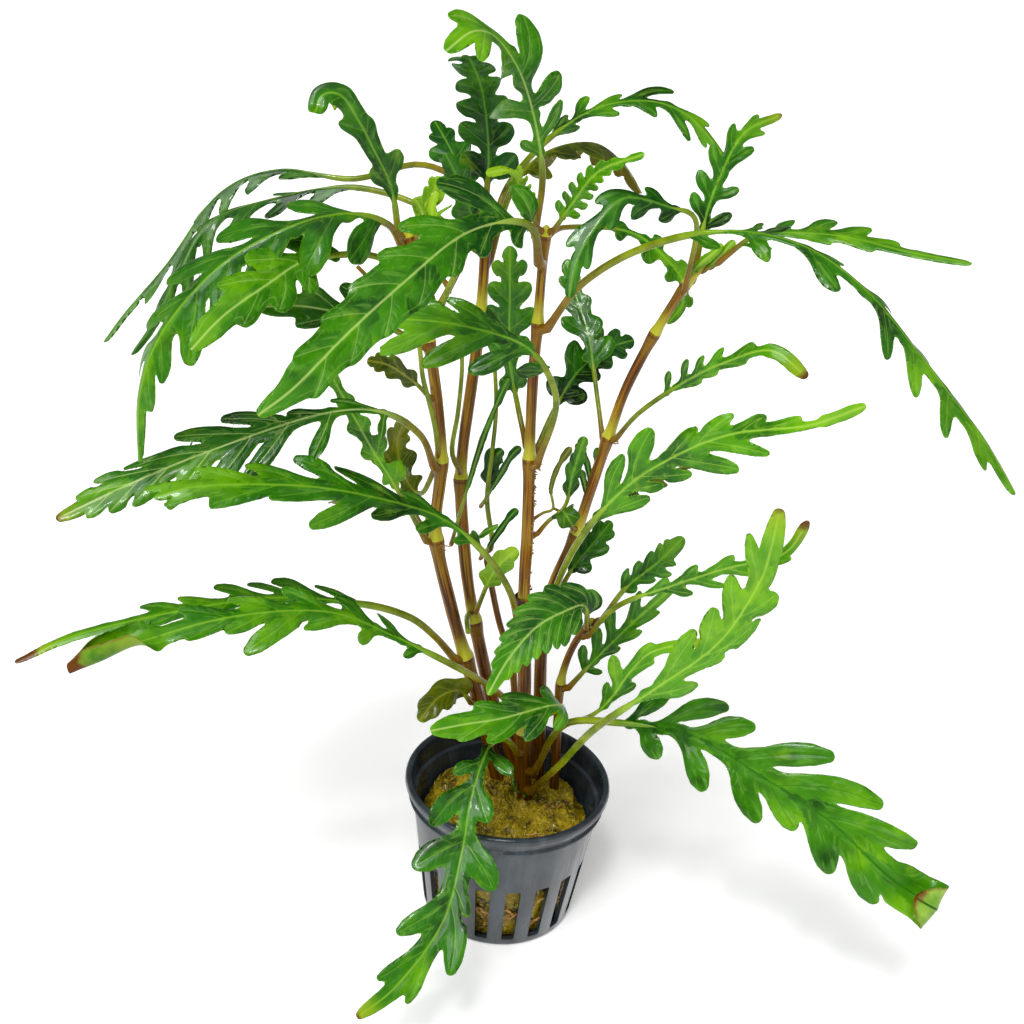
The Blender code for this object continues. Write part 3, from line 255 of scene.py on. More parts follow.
LOOKS = {
    "leaf_left_middle": Look(
        left=[(26, 29, 8, 3.2), (40, 48.5, 10.5, 4), (50, 64, 9, 4.6), (59, 74, 9.3, 5), (69, 83, 8, 4.6),
              (79, 90, 4.5, 4.5), (86, 95, 3.8, 4), (93, 100, 2.5, 3.5)],
        right=[(29, 39, 3.5, 2), (42, 50, 2.5, 3), (50, 64, 7.3, 4.5), (58, 75, 6.8, 5), (69, 88, 5.3, 4.5),
               (79, 95, 4.3, 4), (88, 100, 2.8, 3.5)],
        web=(0.9, 2.3, 2.6), end=(13, 3.6), dry=105, finish="veined"),
    "leaf_left_middle_low": Look(
        left=[(34, 39, 3.2, 2.2), (43, 51, 5.5, 3.2), (52, 63, 4.8, 3.6), (63, 78.5, 9.3, 4.6),
              (72, 88, 3.2, 4.2), (85, 101, 4, 4), (100, 111, 2.5, 3)],
        right=[(30, 35, 2, 2), (45, 55, 4, 3), (55, 72, 6.3, 4.2), (66, 81, 8, 4.5), (79, 92, 6, 4),
               (91, 103, 4.5, 3.6), (103, 114, 2.8, 3)],
        web=(0.9, 2.4, 2.4), end=(14, 3)),
    "leaf_left_arch_drooping": Look(
        left=[(17, 27.5, 10.5, 6.5), (29, 41, 10.5, 7), (42, 55, 9.5, 7), (54, 68, 9.5, 6.5),
              (64, 79.5, 10.8, 6), (77, 87, 7, 4), (84, 95, 5.5, 3)],
        right=[(6, 14, -13, 6), (26, 37, 7, 6), (39, 54, 8, 6.4), (53, 68, 10, 6.4), (66, 79, 6, 4.4),
               (78, 90, 5, 3.2)],
        web=(1.2, 2.6, 1.6), shift=(1.0, 3.0), end=(16, 2.4), sag=0.16, slit=0.8),
    "leaf_right_low_big": Look(
        left=[(42, 51.5, 9.3, 4.4), (50, 63, 10.3, 5), (59, 70, 9.4, 5.4), (70, 90, 13.6, 6.2),
              (82, 104, 11.6, 6.4), (96, 117, 10.2, 6)],
        right=[(45, 51, 7.6, 5.6), (55, 68, 10.8, 6.4), (70, 83, 10, 6), (80, 92, 6.8, 6),
               (93, 107, 9.4, 7.4), (106, 119, 7.2, 7)],
        web=(1.3, 3.8, 4.4), end=(21, 12.8), curl=(125.8, 4.0), more=11.0, dry=140.5, slit=0.9,
        finish="deep", wave=0.9),
    "leaf_front_hanging": Look(
        left=[(28, 33, 8, 4.2), (38, 47, 5, 5.4), (52, 62, 9.5, 6.6), (63, 70, 5, 4), (67, 80.5, 8, 5.4),
              (79, 91, 4.6, 3.2)],
        right=[(32, 37, 6, 3.4), (38, 49.5, 8.6, 5.6), (52, 61, 10.8, 7), (66, 80.5, 8, 5.4),
               (79, 92.5, 4.4, 3.6)],
        web=(1.1, 3.2, 2.6), end=(12, 3.4), dry=100.5, slit=0.8, wave=0.7),
    "leaf_left_low_long": Look(
        left=[(40, 45, 2.5, 2.5), (53, 58, 2.5, 2.5), (60, 67, 3.5, 3), (72, 79, 3, 2.8),
              (84, 91, 2.4, 2.4)],
        right=[(40, 51, 4.5, 2.5), (50, 61, 7, 4), (55, 67, 6, 3), (65, 75, 6, 3.4), (75, 84, 4, 2.5),
               (83, 93, 4.4, 3)],
        web=(0.9, 1.9, 1.0), end=(22, 1.8), dry=117, margin=0.08),
    "leaf_left_low_rolled": Look(
        left=[(46, 51, 3.5, 2.4), (60, 66, 5.5, 3.4), (68, 80.5, 4, 3.6), (80, 95, 8.3, 5.4),
              (88, 98.5, 3.6, 3.4), (97, 107, 3, 3)],
        right=[(52, 59, 5, 3), (62, 71, 5.5, 3.4), (74, 84, 6, 4), (85, 96, 5.8, 4), (97, 107, 5, 3.6)],
        web=(0.9, 2.1, 2.6), end=(15, 13.6), wrap=(116, 2.9, 1.7), dry=128.5),
    "leaf_right_middle": Look(
        left=[(50, 63, 7, 4), (60, 72, 8.8, 5.5), (72, 82, 4.3, 4), (80, 90, 5, 3.5), (91, 97, 4, 3),
              (97, 105, 3, 2)],
        right=[(46, 61.5, 4.3, 4), (56, 68, 3.5, 3.5), (63, 75.5, 4.3, 3.6), (73, 89, 7, 4.4),
               (83, 97, 4.3, 3.2)],
        web=(1.0, 2.2, 0.8), shift=(0.8, 1.0), end=(10, 2.6), finish="bright"),
    "leaf_right_pale_rising": Look(
        left=[(70, 89, 5.5, 5), (84, 99.5, 5.6, 5), (98, 109.5, 6, 4.6), (110, 123, 5, 3.5)],
        right=[(64, 77.5, 4.5, 4.5), (78, 92, 3, 3), (85, 102, 4, 4), (100, 110.5, 4.5, 5)],
        web=(0.9, 2.4, 2.2), end=(20, 4.6), dry=130, finish="bright"),
    "leaf_right_long_arch": Look(
        left=[(33, 37, 5, 2.2), (56, 59, 4.3, 1.8), (60, 64, 8, 3.5), (72, 78, 3.5, 2.6), (85, 92, 5, 2.5),
              (98, 105, 3, 2.4), (112, 119, 2.6, 2.2)],
        right=[(33, 38, 4, 2.5), (45, 52, 5, 3), (57, 63.5, 5, 3.5), (70, 81, 5, 4), (90, 99, 5.4, 3),
               (100, 108.5, 6.2, 3.2), (112, 118.5, 7.2, 3.6), (122, 129, 4.3, 3.5)],
        web=(0.8, 1.5, 2.1), end=(12, 3.2)),
    "leaf_front_dark": Look(
        left=[(31, 37, 5.5, 4.4), (39, 51, 9.5, 4.8), (48, 63, 10, 5.2), (58, 73, 7.4, 4.4)],
        right=[(10, 19, 4, 2.5), (46, 59, 5.2, 4), (53, 66, 4.4, 3.6)],
        web=(0.9, 2.2, 2.4), end=(15, 4.6), slit=0.8),
    "leaf_left_pale": Look(
        left=[(34, 44, 6.5, 5.6), (44, 54, 6.5, 5.4), (53, 63, 4.6, 4.4)],
        right=[(28, 39, 6.5, 5.6), (38, 50, 7, 5.6), (48, 60, 5.4, 4.6)],
        web=(1.6, 3.8, 2.8), end=(13, 4.6), slit=FUSED, finish="broad", wave=0.6),
    "leaf_left_short": Look(
        left=[(14, 26, 5.5, 4.6), (22, 36, 4.4, 3.4)], right=[(13, 24, 6.5, 5), (24, 34, 4.6, 3.6)],
        web=(1.2, 3.2, 2.2), end=(11, 3.8), slit=FUSED, finish="veined"),
    "leaf_crown": Look(
        left=[(19, 24, 4.5, 2.5), (29, 39, 12, 5.2), (42, 50, 8.5, 5.4), (54, 64, 6, 4)],
        right=[(22, 29, 7, 3), (30, 33, 9.5, 4.6), (38, 43.5, 11.4, 6.6), (52, 61, 5, 4.2)],
        web=(0.9, 1.8, 2.2), end=(12, 4.4), finish="broad"),
    "leaf_upper_left_curled": Look(
        left=[(12, 19, 2.8, 3.4), (28, 33, 4, 3), (37, 43, 3.5, 4)],
        right=[(15, 20.5, 4.8, 4), (27, 30, 2, 3)],
        web=(1.2, 2.5, 2.0), end=(9, 4.2), curl=(44, 3.0)),
    "leaf_over_rim": Look(
        left=[(18, 27, 6, 3.6), (26, 36, 6.6, 4), (34, 45, 5.6, 4), (43, 52, 3.6, 3.4)],
        right=[(17, 27, 4.4, 3.6), (25, 38, 5, 4.2), (34, 46, 4.4, 4)],
        web=(1.3, 3.4, 3.0), end=(12, 5), slit=FUSED, finish="broad", wave=0.7),
    "leaf_front_fern": Look(
        left=[(9, 14, 4.4, 2.8), (13, 20, 6, 3), (16.5, 25, 7.4, 3.2), (20, 28.5, 7, 3.2),
              (23.5, 32, 6.2, 3.1), (27, 35, 5.2, 3), (30.5, 38, 4.4, 2.7), (34, 41, 3.4, 2.4),
              (37.5, 43.5, 2.4, 2)],
        right=[(8, 13, 4.4, 2.8), (11.5, 18, 6.2, 3), (15, 23, 7.4, 3.2), (18.5, 27, 7.2, 3.2),
               (22, 30.5, 6.4, 3.1), (25.5, 33.5, 5.4, 3), (29, 37, 4.6, 2.7), (32.5, 40, 3.6, 2.4),
               (36, 42.5, 2.6, 2)],
        web=(1.4, 3.0, 2.0), end=(7, 2.8), slit=FUSED, finish="broad", wave=0.6),
    "leaf_right_pale_thin": Look(
        left=[(20, 27, 3, 2.5), (27, 35, 6, 3.5), (36, 43, 2, 2)], right=[(24, 31, 3, 2.4),
              (33, 41, 2.4, 2)],
        web=(0.8, 1.7, 1.2), end=(10, 2), dry=54, finish="bright"),
    "leaf_right_feathery": Look(
        left=[(8, 14.5, 4.8, 2.6), (13, 22, 5.5, 3), (20, 30, 7, 3), (29, 38, 4.5, 2.6)],
        right=[(8, 12, 3.5, 2), (15, 21, 2.4, 2), (20, 29.5, 3, 2.5), (28, 38, 2.4, 2)],
        web=(0.9, 1.4, 1.0), end=(9, 2)),
    "leaf_right_feathery_high": Look(
        left=[(10, 16, 3.2, 2), (14, 19.8, 3, 2), (19, 25, 3, 2), (24, 29, 3, 2), (28, 31, 2.5, 2)],
        right=[(10, 14, 2, 2), (15, 20, 3, 2.2), (20, 24, 4.5, 2.5), (25, 27, 3.5, 2)],
        web=(1.0, 2.2, 1.8), end=(6, 3)),
    "leaf_right_narrow": Look(
        left=[(30, 36, 2, 1.8), (38, 45, 2.6, 2), (48, 55, 2.4, 2), (60, 66, 1.8, 1.6)],
        right=[(34, 41, 3.3, 2.2), (42, 50, 4, 2), (52, 59, 2.6, 2), (62, 68, 1.8, 1.6)],
        web=(0.7, 1.1, 0.7), end=(9, 2.4), dry=75.5, finish="bright"),
    "leaf_right_thin_brown_tip": Look(
        left=[(22, 26, 4, 1.8), (27, 31.5, 4.2, 1.8), (31, 35, 3.3, 1.6), (35, 40, 3.2, 1.6),
              (42, 47, 2, 1.6)],
        right=[(25, 32, 1.8, 1.5), (30, 36.5, 1.5, 1.5), (38, 44, 1.5, 1.5)],
        web=(0.7, 1.1, 1.1), end=(10, 3.4), dry=58.5, finish="bright"),
    "leaf_right_high": Look(
        left=[(10, 13, 4.6, 2.4), (16, 20, 4.6, 3), (23, 29, 5.5, 4), (29, 36.5, 4, 3.6), (36, 43, 2, 2.5)],
        right=[(8, 16, 5, 2), (20, 29, 2.2, 1.8), (30, 38, 2, 1.8)],
        web=(1.0, 1.7, 0.8), end=(12, 1.6)),
    "leaf_right_crown": Look(
        left=[(12, 17, 4.5, 2.8), (17, 22, 5, 3.2), (23, 28, 4.8, 2.8), (29, 33.5, 3.2, 2.2),
              (35, 39, 2, 1.6)],
        right=[(10, 15, 5.5, 2.8), (17, 21.5, 5, 2.7), (25, 32.5, 4, 2.6), (32, 38.5, 2.6, 1.8)],
        web=(1.0, 1.5, 0.8), end=(9, 1.5), dry=44),
    "leaf_back_arch_right": Look(
        left=[(30, 37, 2.6, 2), (38, 44, 5, 2.7), (44, 51, 3, 2), (52, 62, 7, 3), (66, 73, 2.6, 2)],
        right=[(30, 37, 2.4, 2), (40, 49, 3.5, 2.6), (54, 60, 3.8, 3), (62, 73, 5.4, 2.6),
               (70, 77, 2.5, 1.8)],
        web=(0.7, 1.3, 0.9), end=(9, 1.8)),
    "leaf_hanging_back_right": Look(
        left=[(25, 29, 3.4, 2.6), (31, 37, 4, 3.2), (39, 46, 2.8, 2.8), (50, 57, 2.6, 2.4)],
        right=[(27, 33, 3, 2.6), (36, 43, 3.4, 3), (46, 54, 3.2, 2.8)],
        web=(0.8, 1.3, 1.1), end=(9, 2.4), finish="dark"),
    "leaf_front_big": Look(
        left=[(14, 21, 5.4, 4.6), (25, 34, 5.6, 4.4), (36, 45, 5.6, 4.4), (47, 55.5, 5.4, 4.2),
              (58, 66, 5.2, 4), (68, 76, 4.4, 3.8), (78, 86.5, 3.8, 3.2)],
        right=[(12, 18, 7.5, 5), (20, 33, 12, 6), (33, 44, 9.4, 4.8), (45, 54, 7.4, 4.4),
               (55, 64, 6.4, 4.2), (65, 73, 5.4, 3.8), (75, 83, 4.0, 3.4)],
        web=(2.6, 6.2, 3.9), end=(13, 3.6), slit=FUSED, finish="broad", wave=0.7),
    "leaf_young_left": Look(
        left=[(root, root + 2.6, 2.3, 1.5) for root in (3, 5.2, 7.4, 9.6, 11.8)],
        right=[(root, root + 2.6, 2.3, 1.5) for root in (4, 6.2, 8.4, 10.6, 12.8)],
        web=(0.5, 0.8, 0.6), end=(4, 1.8), finish="pale", margin=0.02, wave=0.6),
    "leaf_young_right": Look(
        left=comb(range(4, 24, 3)),
        right=comb(range(5, 25, 3)),
        web=(0.5, 0.9, 0.6), end=(3, 1.2), finish="bright", margin=0.04, wave=0.9),
    "leaf_left_arch_high": Look(
        left=[(47, 58, 2.2, 1.7), (57, 68, 3.0, 1.9), (67, 78, 3.6, 2.0), (77, 88, 3.6, 2.0),
              (87, 98, 3.2, 1.9), (97, 107, 2.4, 1.6)],
        right=[(42, 53, 2.2, 1.7), (52, 63, 3.0, 1.9), (62, 73, 3.6, 2.0), (72, 83, 3.6, 2.0),
               (82, 93, 3.4, 1.9), (92, 103, 2.8, 1.7), (103, 112, 1.9, 1.4)],
        web=(0.6, 0.95, 0.8), end=(12, 1.7), sag=0.14, slit=0.75, finish="bluish"),
    "leaf_left_arch_inner": Look(
        left=[(36, 47, 3.2, 2.2), (47, 58, 4.2, 2.4), (58, 70, 4.6, 2.5), (69, 81, 4.2, 2.4),
              (80, 91, 3.6, 2.2), (90, 99, 2.5, 1.7)],
        right=[(33, 43, 3.2, 2.2), (43, 54, 4.4, 2.4), (54, 66, 4.8, 2.5), (65, 77, 4.6, 2.5),
               (76, 87, 4.0, 2.3), (87, 97, 2.7, 1.7)],
        web=(0.7, 1.2, 0.9), end=(12, 1.9), sag=0.2, slit=0.75, finish="bluish"),
    "leaf_curly_dark": Look(finish="dark", curl=(9, 2.5)),
}

# Leaves whose lobes come from their lengths alone, by finish
PLAIN = {
    "bright": ("leaf_left_narrow_rising",),
    "dark": ("leaf_crown_back", "leaf_crown_back_small", "leaf_crown_back_plain", "leaf_inner_right",
             "leaf_inner_right_low"),
    "olive": ("leaf_olive_low", "leaf_left_brown_under", "leaf_right_brown_under", "leaf_back_arch_olive",
              "leaf_inner_left_olive", "leaf_small_olive_left"),
    "pale": ("leaf_yellow", "shoot_tip_left"),
}
LOOKS.update({name: Look(finish=finish) for finish, names in PLAIN.items() for name in names})


def sprig(name, finish, blade, web, petiole, route, droop=0.0, face=TO_VIEW, lobes=()):
    """A small leaf among the stems, with a whole route of its own from its foot to its tip."""
    return Leaf(name, None, 0, route, blade, lobes, lobes, web, face, None, 45, droop, petiole), finish


SPRIGS = [
    sprig("sprig_long_left", "fresh", 0.3, 0.9, 0.55, [(-20, 15, 102), (-18.7, 12, 110), (-16.3, 12, 122),
          (-13.7, 12, 134), (-10.5, 12, 145), (-8.7, 12, 150)], 0.1),
    sprig("sprig_middle_narrow", "dark", 0.3, 1.0, 0.5, [(-13, 14, 114), (-11.5, 11, 118.5),
          (-8.9, 11, 124.3), (-6.3, 11, 130.1), (-4.3, 11, 132.5)], 0.1),
    sprig("sprig_dark_round", "dark", 0.2, 2.0, 0.5, [(-11.8, 15, 116), (-11.3, 15, 120.3), (-11, 15, 126.5),
          (-8.8, 14, 130)], 0.1, lobes=(3, 3)),
    sprig("sprig_low_olive", "dark", 0.25, 1.0, 0.5, [(-12, 12, 100), (-10.4, 9, 104.5), (-7.7, 9, 109.9),
          (-5.5, 9, 113.9), (-3.7, 9, 116.3)], 0.1),
    sprig("sprig_oval_light", "bright", 0.4, 1.9, 0.45, [(-16, 8, 107), (-13.4, 5, 109.3), (-11, 4, 111.8),
          (-8.4, 3, 114)], 0.1, UP),
    sprig("sprig_between_stems", "olive", 0.36, 0.75, 0.4, [(0.6, 4, 116.6), (2.6, 5, 117.8), (5, 6, 118.9),
          (4, 6, 124.4), (5.4, 6, 130.8), (7.9, 6, 135.9)]),
    sprig("sprig_right_upper", "dark", 0.3, 0.9, 0.35, [(13.4, 10, 119), (13.7, 9, 125), (12, 9, 131.4),
          (9.3, 9, 135.7)]),
    sprig("sprig_right_needle", "dark", 0.3, 0.7, 0.35, [(13.8, 10, 119), (14.4, 9, 125), (14.6, 9, 130.6),
          (14.3, 9, 135.1)]),
    sprig("sprig_right_short", "fresh", 0.3, 0.9, 0.35, [(13.6, 10, 119), (12.8, 9, 123.2), (11, 9, 128.6)]),
    sprig("sprig_right_end_low", "pale", 0.15, 1.2, 0.6, [(30.5, 5, 181), (32.4, 3, 185), (34.9, 2, 188),
          (36.9, 2, 190.6)]),
    sprig("sprig_right_end", "pale", 0.15, 1.2, 0.6, [(34, 4.4, 183.6), (35.8, 3, 186), (38, 2.5, 189.3),
          (39.6, 3, 191.3)]),
    sprig("sprig_tip_left", "pale", 0.2, 1.2, 0.5, [(-34, 14, 182), (-31.5, 13.5, 186), (-32.5, 13, 189.8),
          (-34, 12, 192.3)]),
    sprig("sprig_tip_middle", "pale", 0.2, 1.3, 0.5, [(-34, 14, 182.5), (-30.1, 14, 186.4),
          (-29.9, 15, 190.2), (-29.2, 16, 193)]),
    sprig("sprig_tip_right", "bright", 0.2, 1.2, 0.5, [(-33.5, 14, 182), (-29.7, 14, 186.5),
          (-27.5, 14, 189), (-25.2, 13, 190.9)], 0.0, UP),
]

# Bare petioles and twigs: their points, and the radius at each end
TWIGS = {
    "twig_left_brown": ([(-18, 9, 189), (-20.6, 8, 184), (-22.8, 9, 177), (-25.4, 11, 169.5),
                        (-27.5, 13, 161)], 0.65, 0.8),
    "twig_left_long": ([(-46, 8, 176), (-41.2, 10, 170.6), (-34.7, 12, 163.5), (-29.4, 13, 157.5)], 0.5,
                       0.75),
    "twig_inner_tall": ([(-12, 17, 98), (-9.5, 14, 103), (-11.7, 14, 115.6), (-11.4, 14, 128.3),
                        (-11.2, 14, 140.5), (-12.5, 16, 152)], 0.7, 0.5),
    "twig_left_side": ([(-24.5, 11, 127.5), (-25.6, 9, 136), (-27.3, 9, 142.4), (-29.4, 9, 149.3),
                        (-30.5, 9, 156.4), (-32, 11, 163)], 0.7, 0.55),
    "twig_between_left": ([(-19, 17, 121), (-21.5, 15, 128), (-20.6, 14, 139), (-20.4, 14, 152),
                          (-22, 14, 162)], 0.7, 0.5),
    "twig_runner": ([(5, 6, 118.9), (8.4, 7, 117.1), (11, 8.5, 116), (13, 10, 115.5)], 0.35, 0.45),
    "twig_cut_petiole": ([(-13.8, 17, 80), (-14.4, 12, 82.5), (-14.2, 6, 84), (-13.6, 0, 84.6)], 0.8, 0.7),
}

# Fineness of the meshes: steps of a smoothed line, of its directions and of a lobe, cells of a blade, how
# near its edge a cell's corner is moved on to it, and sides and steps of tubes
FINE_STEPS = 24
DIRECTION_STEPS = 60
CELL = 0.5
SMALL_CELL = 0.36
SMALL_LEAF = 60.0
SNAP_SHARE = 0.35
PATH_POINTS = 9
CIRCLES = 20
RIB_SIDES = 10
STEM_SIDES = 20
STEM_STEP = 0.7

# Where the stems' bark starts to change with height, and over what rise
STEM_LOW = 30.0
STEM_RISE = 165.0

# Form of stems and leaves: how nodes swell and sit, how deep a stem goes into the wool, the blade's half
# thickness inside and at its edge, how lobes melt into the web, how much nearer than a lobe's vein the
# midrib has to be to own a point, the ripple of margins, the petiole against its listed radius, how far
# short of the tip the midrib stops, where a leaf with no brown tip would have one, and the half widths
# along a lobe near the leaf's foot and further out
NODE_SWELL = 1.3
NODE_DROP = 1.6
STEM_SINK = 7.0
SHEET = 0.13
SHEET_EDGE = 0.05
LOBE_BLEND = 1.5
RIB_WEIGHT = 3.0
RIPPLE_SIZE = 1.9
PETIOLE_SHARE = 0.86
RIB_STOP = 1.6
NO_DRY_END = 1e3
SPOON = ((0, 0.3, 0.5, 0.66, 0.84, 1.0), (0.58, 0.55, 0.82, 1.0, 0.94, 0.60))
BLADE = ((0, 0.3, 0.5, 0.66, 0.84, 1.0), (1.0, 1.0, 1.0, 0.96, 0.82, 0.50))


def tint(red, green, blue):
    """A colour given as it shows on a screen, from 0 to 255, in the linear values that shaders use."""
    return tuple((c / 255) ** 2.2 for c in (red, green, blue))


# Leaf colours: the blade in its darkest, middle and brightest parts, the veins, the underside, and how
# clearly the veins show
Finish = namedtuple("Finish", "low middle high vein under clear")
FINISHES = {
    "fresh": Finish(tint(8, 48, 0), tint(44, 106, 0), tint(96, 154, 8), tint(128, 176, 46),
                    tint(122, 152, 44), 0.26),
    "deep": Finish(tint(14, 58, 0), tint(58, 120, 0), tint(106, 164, 12), tint(36, 92, 0),
                   tint(150, 182, 74), 0.45),
    "veined": Finish(tint(6, 42, 0), tint(36, 96, 0), tint(88, 146, 10), tint(188, 212, 128),
                     tint(104, 138, 38), 0.4),
    "broad": Finish(tint(16, 66, 0), tint(56, 120, 0), tint(104, 164, 8), tint(190, 216, 118),
                    tint(118, 154, 44), 0.2),
    "bright": Finish(tint(34, 88, 0), tint(74, 140, 0), tint(122, 180, 10), tint(158, 200, 68),
                     tint(128, 164, 46), 0.32),
    "dark": Finish(tint(4, 32, 0), tint(20, 76, 0), tint(56, 118, 8), tint(104, 154, 44), tint(70, 106, 26),
                   0.32),
    "bluish": Finish(tint(8, 42, 2), tint(34, 84, 10), tint(80, 126, 42), tint(104, 148, 66),
                     tint(88, 118, 52), 0.25),
    "pale": Finish(tint(66, 116, 0), tint(106, 156, 6), tint(150, 190, 30), tint(172, 202, 70),
                   tint(134, 168, 46), 0.25),
    "olive": Finish(tint(40, 56, 0), tint(80, 94, 4), tint(120, 126, 18), tint(148, 148, 46),
                    tint(108, 98, 22), 0.3),
}


def unit(vector):
    return vector / np.linalg.norm(vector)


def unit_rows(rows):
    return rows / np.maximum(np.linalg.norm(rows, axis=1), 1e-9)[:, None]


def ease(value, low, high):
    """0 below low and 1 above high, with a smooth change between."""
    share = np.clip((value - low) / (high - low), 0, 1)
    return share * share * (3 - 2 * share)


def smooth_line(points):
    """A fine line through the points, by a Catmull-Rom curve, with its running length."""
    points = np.array(points, float)
    padded = np.vstack([2 * points[0] - points[1], points, 2 * points[-1] - points[-2]])
    line = []
    for k in range(1, len(padded) - 2):
        before, start, end, after = padded[k - 1:k + 3]
        for t in np.linspace(0, 1, FINE_STEPS, endpoint=False):
            line.append(0.5 * (2 * start + (end - before) * t
                               + (2 * before - 5 * start + 4 * end - after) * t ** 2
                               + (3 * start - before - 3 * end + after) * t ** 3))
    line.append(points[-1])
    line = np.array(line)
    steps = np.linalg.norm(np.diff(line, axis=0), axis=1)
    return line, np.concatenate([[0], np.cumsum(steps)])


def around(count):
    """Angles of so many even steps round a circle."""
    return np.linspace(0, WHOLE_TURN, count, endpoint=False)


def polar(radius, angle, height=0.0):
    return np.array([radius * math.cos(angle), radius * math.sin(angle), height])


def ring_faces(rows, sides):
    """Quads between rows of vertices that each go once round."""
    faces = []
    for base in range(0, (rows - 1) * sides, sides):
        for j in range(sides):
            after = (j + 1) % sides
            faces.append((base + j, base + after, base + sides + after, base + sides + j))
    return faces


def along(line, run, distances):
    return np.column_stack([np.interp(distances, run, line[:, axis]) for axis in range(3)])


def stem_line(stem):
    """The stem's axis, which starts inside the wool, or in the stem that carries it."""
    route = [np.array(p, float) for p in stem.route]
    if stem.parent is None:
        route.insert(0, route[0] + unit(route[0] - route[1]) * STEM_SINK)
    else:
        route[0] = stem_at(stem.parent, route[0][2])[0]
    return smooth_line(route)


def stem_radius(stem, run, distance):
    return stem.foot + (stem.top - stem.foot) * distance / run[-1]


def stem_at(name, height):
    """The axis point and the thickest radius of the named stem at a height."""
    stem = next(s for s in STEMS if s.name == name)
    line, run = stem_line(stem)
    distance = np.interp(height, line[:, 2], run)
    return along(line, run, [distance])[0], stem_radius(stem, run, distance) * NODE_SWELL


def clear_start(stem_name, height, toward, radius):
    """Where a leaf's midrib is measured from: beside its stem, on the side that it leaves from."""
    centre, stem_r = stem_at(stem_name, height)
    way = np.array(toward, float) - centre
    way[2] = 0.0
    return centre + unit(way) * (stem_r + GAP + radius)


def blade_share(at, start, length):
    return (at - start) / (length - start)


def leaf_frames(leaf, look, line, run, distances):
    """Midrib points with the ways forward, left and up from the face, rolled up past the curl's start."""
    distances = np.asarray(distances, float)
    flat = distances if look.curl is None else np.minimum(distances, look.curl[0])
    flat = np.clip(flat, 0, run[-1])
    points = along(line, run, flat)
    step = run[-1] / DIRECTION_STEPS
    forward = unit_rows(along(line, run, np.minimum(flat + step, run[-1]))
                        - along(line, run, np.maximum(flat - step, 0)))
    share = (flat / run[-1])[:, None]
    face = np.array(leaf.face, float) * (1 - share) + np.array(leaf.face_tip or leaf.face, float) * share
    normal = unit_rows(face - forward * np.sum(face * forward, axis=1)[:, None])
    left = np.cross(normal, forward)
    if look.curl is None:
        points = points + forward * (distances - flat)[:, None]
        return points, forward, left, normal
    radius = look.curl[1]
    turn = ((distances - flat) / radius)[:, None]
    points = points + radius * (forward * np.sin(turn) + normal * (1 - np.cos(turn)))
    rolled = forward * np.cos(turn) + normal * np.sin(turn)
    return points, rolled, left, normal * np.cos(turn) - forward * np.sin(turn)


def generated_lobes(leaf, lengths, length, chance):
    """Lobes for a side without a list of its own, from the lengths and the lean of the leaf."""
    if not lengths:
        return []
    blade, tip = leaf.blade * length, length * 0.95
    count = len(lengths)
    stops = [blade + (tip - blade) * (k / count) ** 0.93 for k in range(count + 1)]
    lean = math.radians(leaf.lean)
    lobes = []
    for low, high, reach in zip(stops, stops[1:], lengths):
        root = low + 0.3 * (high - low)
        width = min(0.86 * (high - low) * math.sin(lean) + 0.6, 0.8 * reach + 0.6)
        sway = chance.uniform(0.92, 1.06)
        lobes.append((root, root + reach * math.cos(lean) * sway, reach * math.sin(lean) / sway, width))
    return lobes


def midrib_shift(look, share):
    return look.shift[0] + (look.shift[1] - look.shift[0]) * share


def lobe_path(root, tip, across, shift):
    """Points of a lobe's vein, which leaves the midrib sideways and bends towards the leaf's tip."""
    start, end = np.array([root, shift]), np.array([tip, across])
    reach = end - start
    bend = start + reach * np.array([0.42, 0.56])
    t = np.linspace(0, 1, PATH_POINTS)[:, None]
    return start * (1 - t) ** 2 + 2 * bend * t * (1 - t) + end * t ** 2


def lobe_circles(path, width, outer):
    """Centres and radii of circles that fill a lobe: a spoon with a narrow neck near the leaf's foot,
    and a blade that tapers from a broad foot further out."""
    steps = np.linalg.norm(np.diff(path, axis=0), axis=1)
    run = np.concatenate([[0], np.cumsum(steps)])
    half = min(width / 2, 0.45 * run[-1])
    share = np.linspace(0, 1, CIRCLES)
    radii = half * ((1 - outer) * np.interp(share, *SPOON) + outer * np.interp(share, *BLADE))
    at = share * max(run[-1] - radii[-1], 0.3 * run[-1])
    centres = np.column_stack([np.interp(at, run, path[:, k]) for k in range(2)])
    return centres, radii


def circle_field(s, t, centres, radii):
    """How far each point lies outside the nearest of the circles."""
    gaps = np.hypot(s[:, None] - centres[None, :, 0], t[:, None] - centres[None, :, 1]) - radii[None, :]
    return gaps.min(axis=1)


def blend_min(a, b, reach):
    """The smaller of two fields, rounded where they meet."""
    near = np.maximum(reach - np.abs(a - b), 0) / reach
    return np.minimum(a, b) - near * near * reach / 4


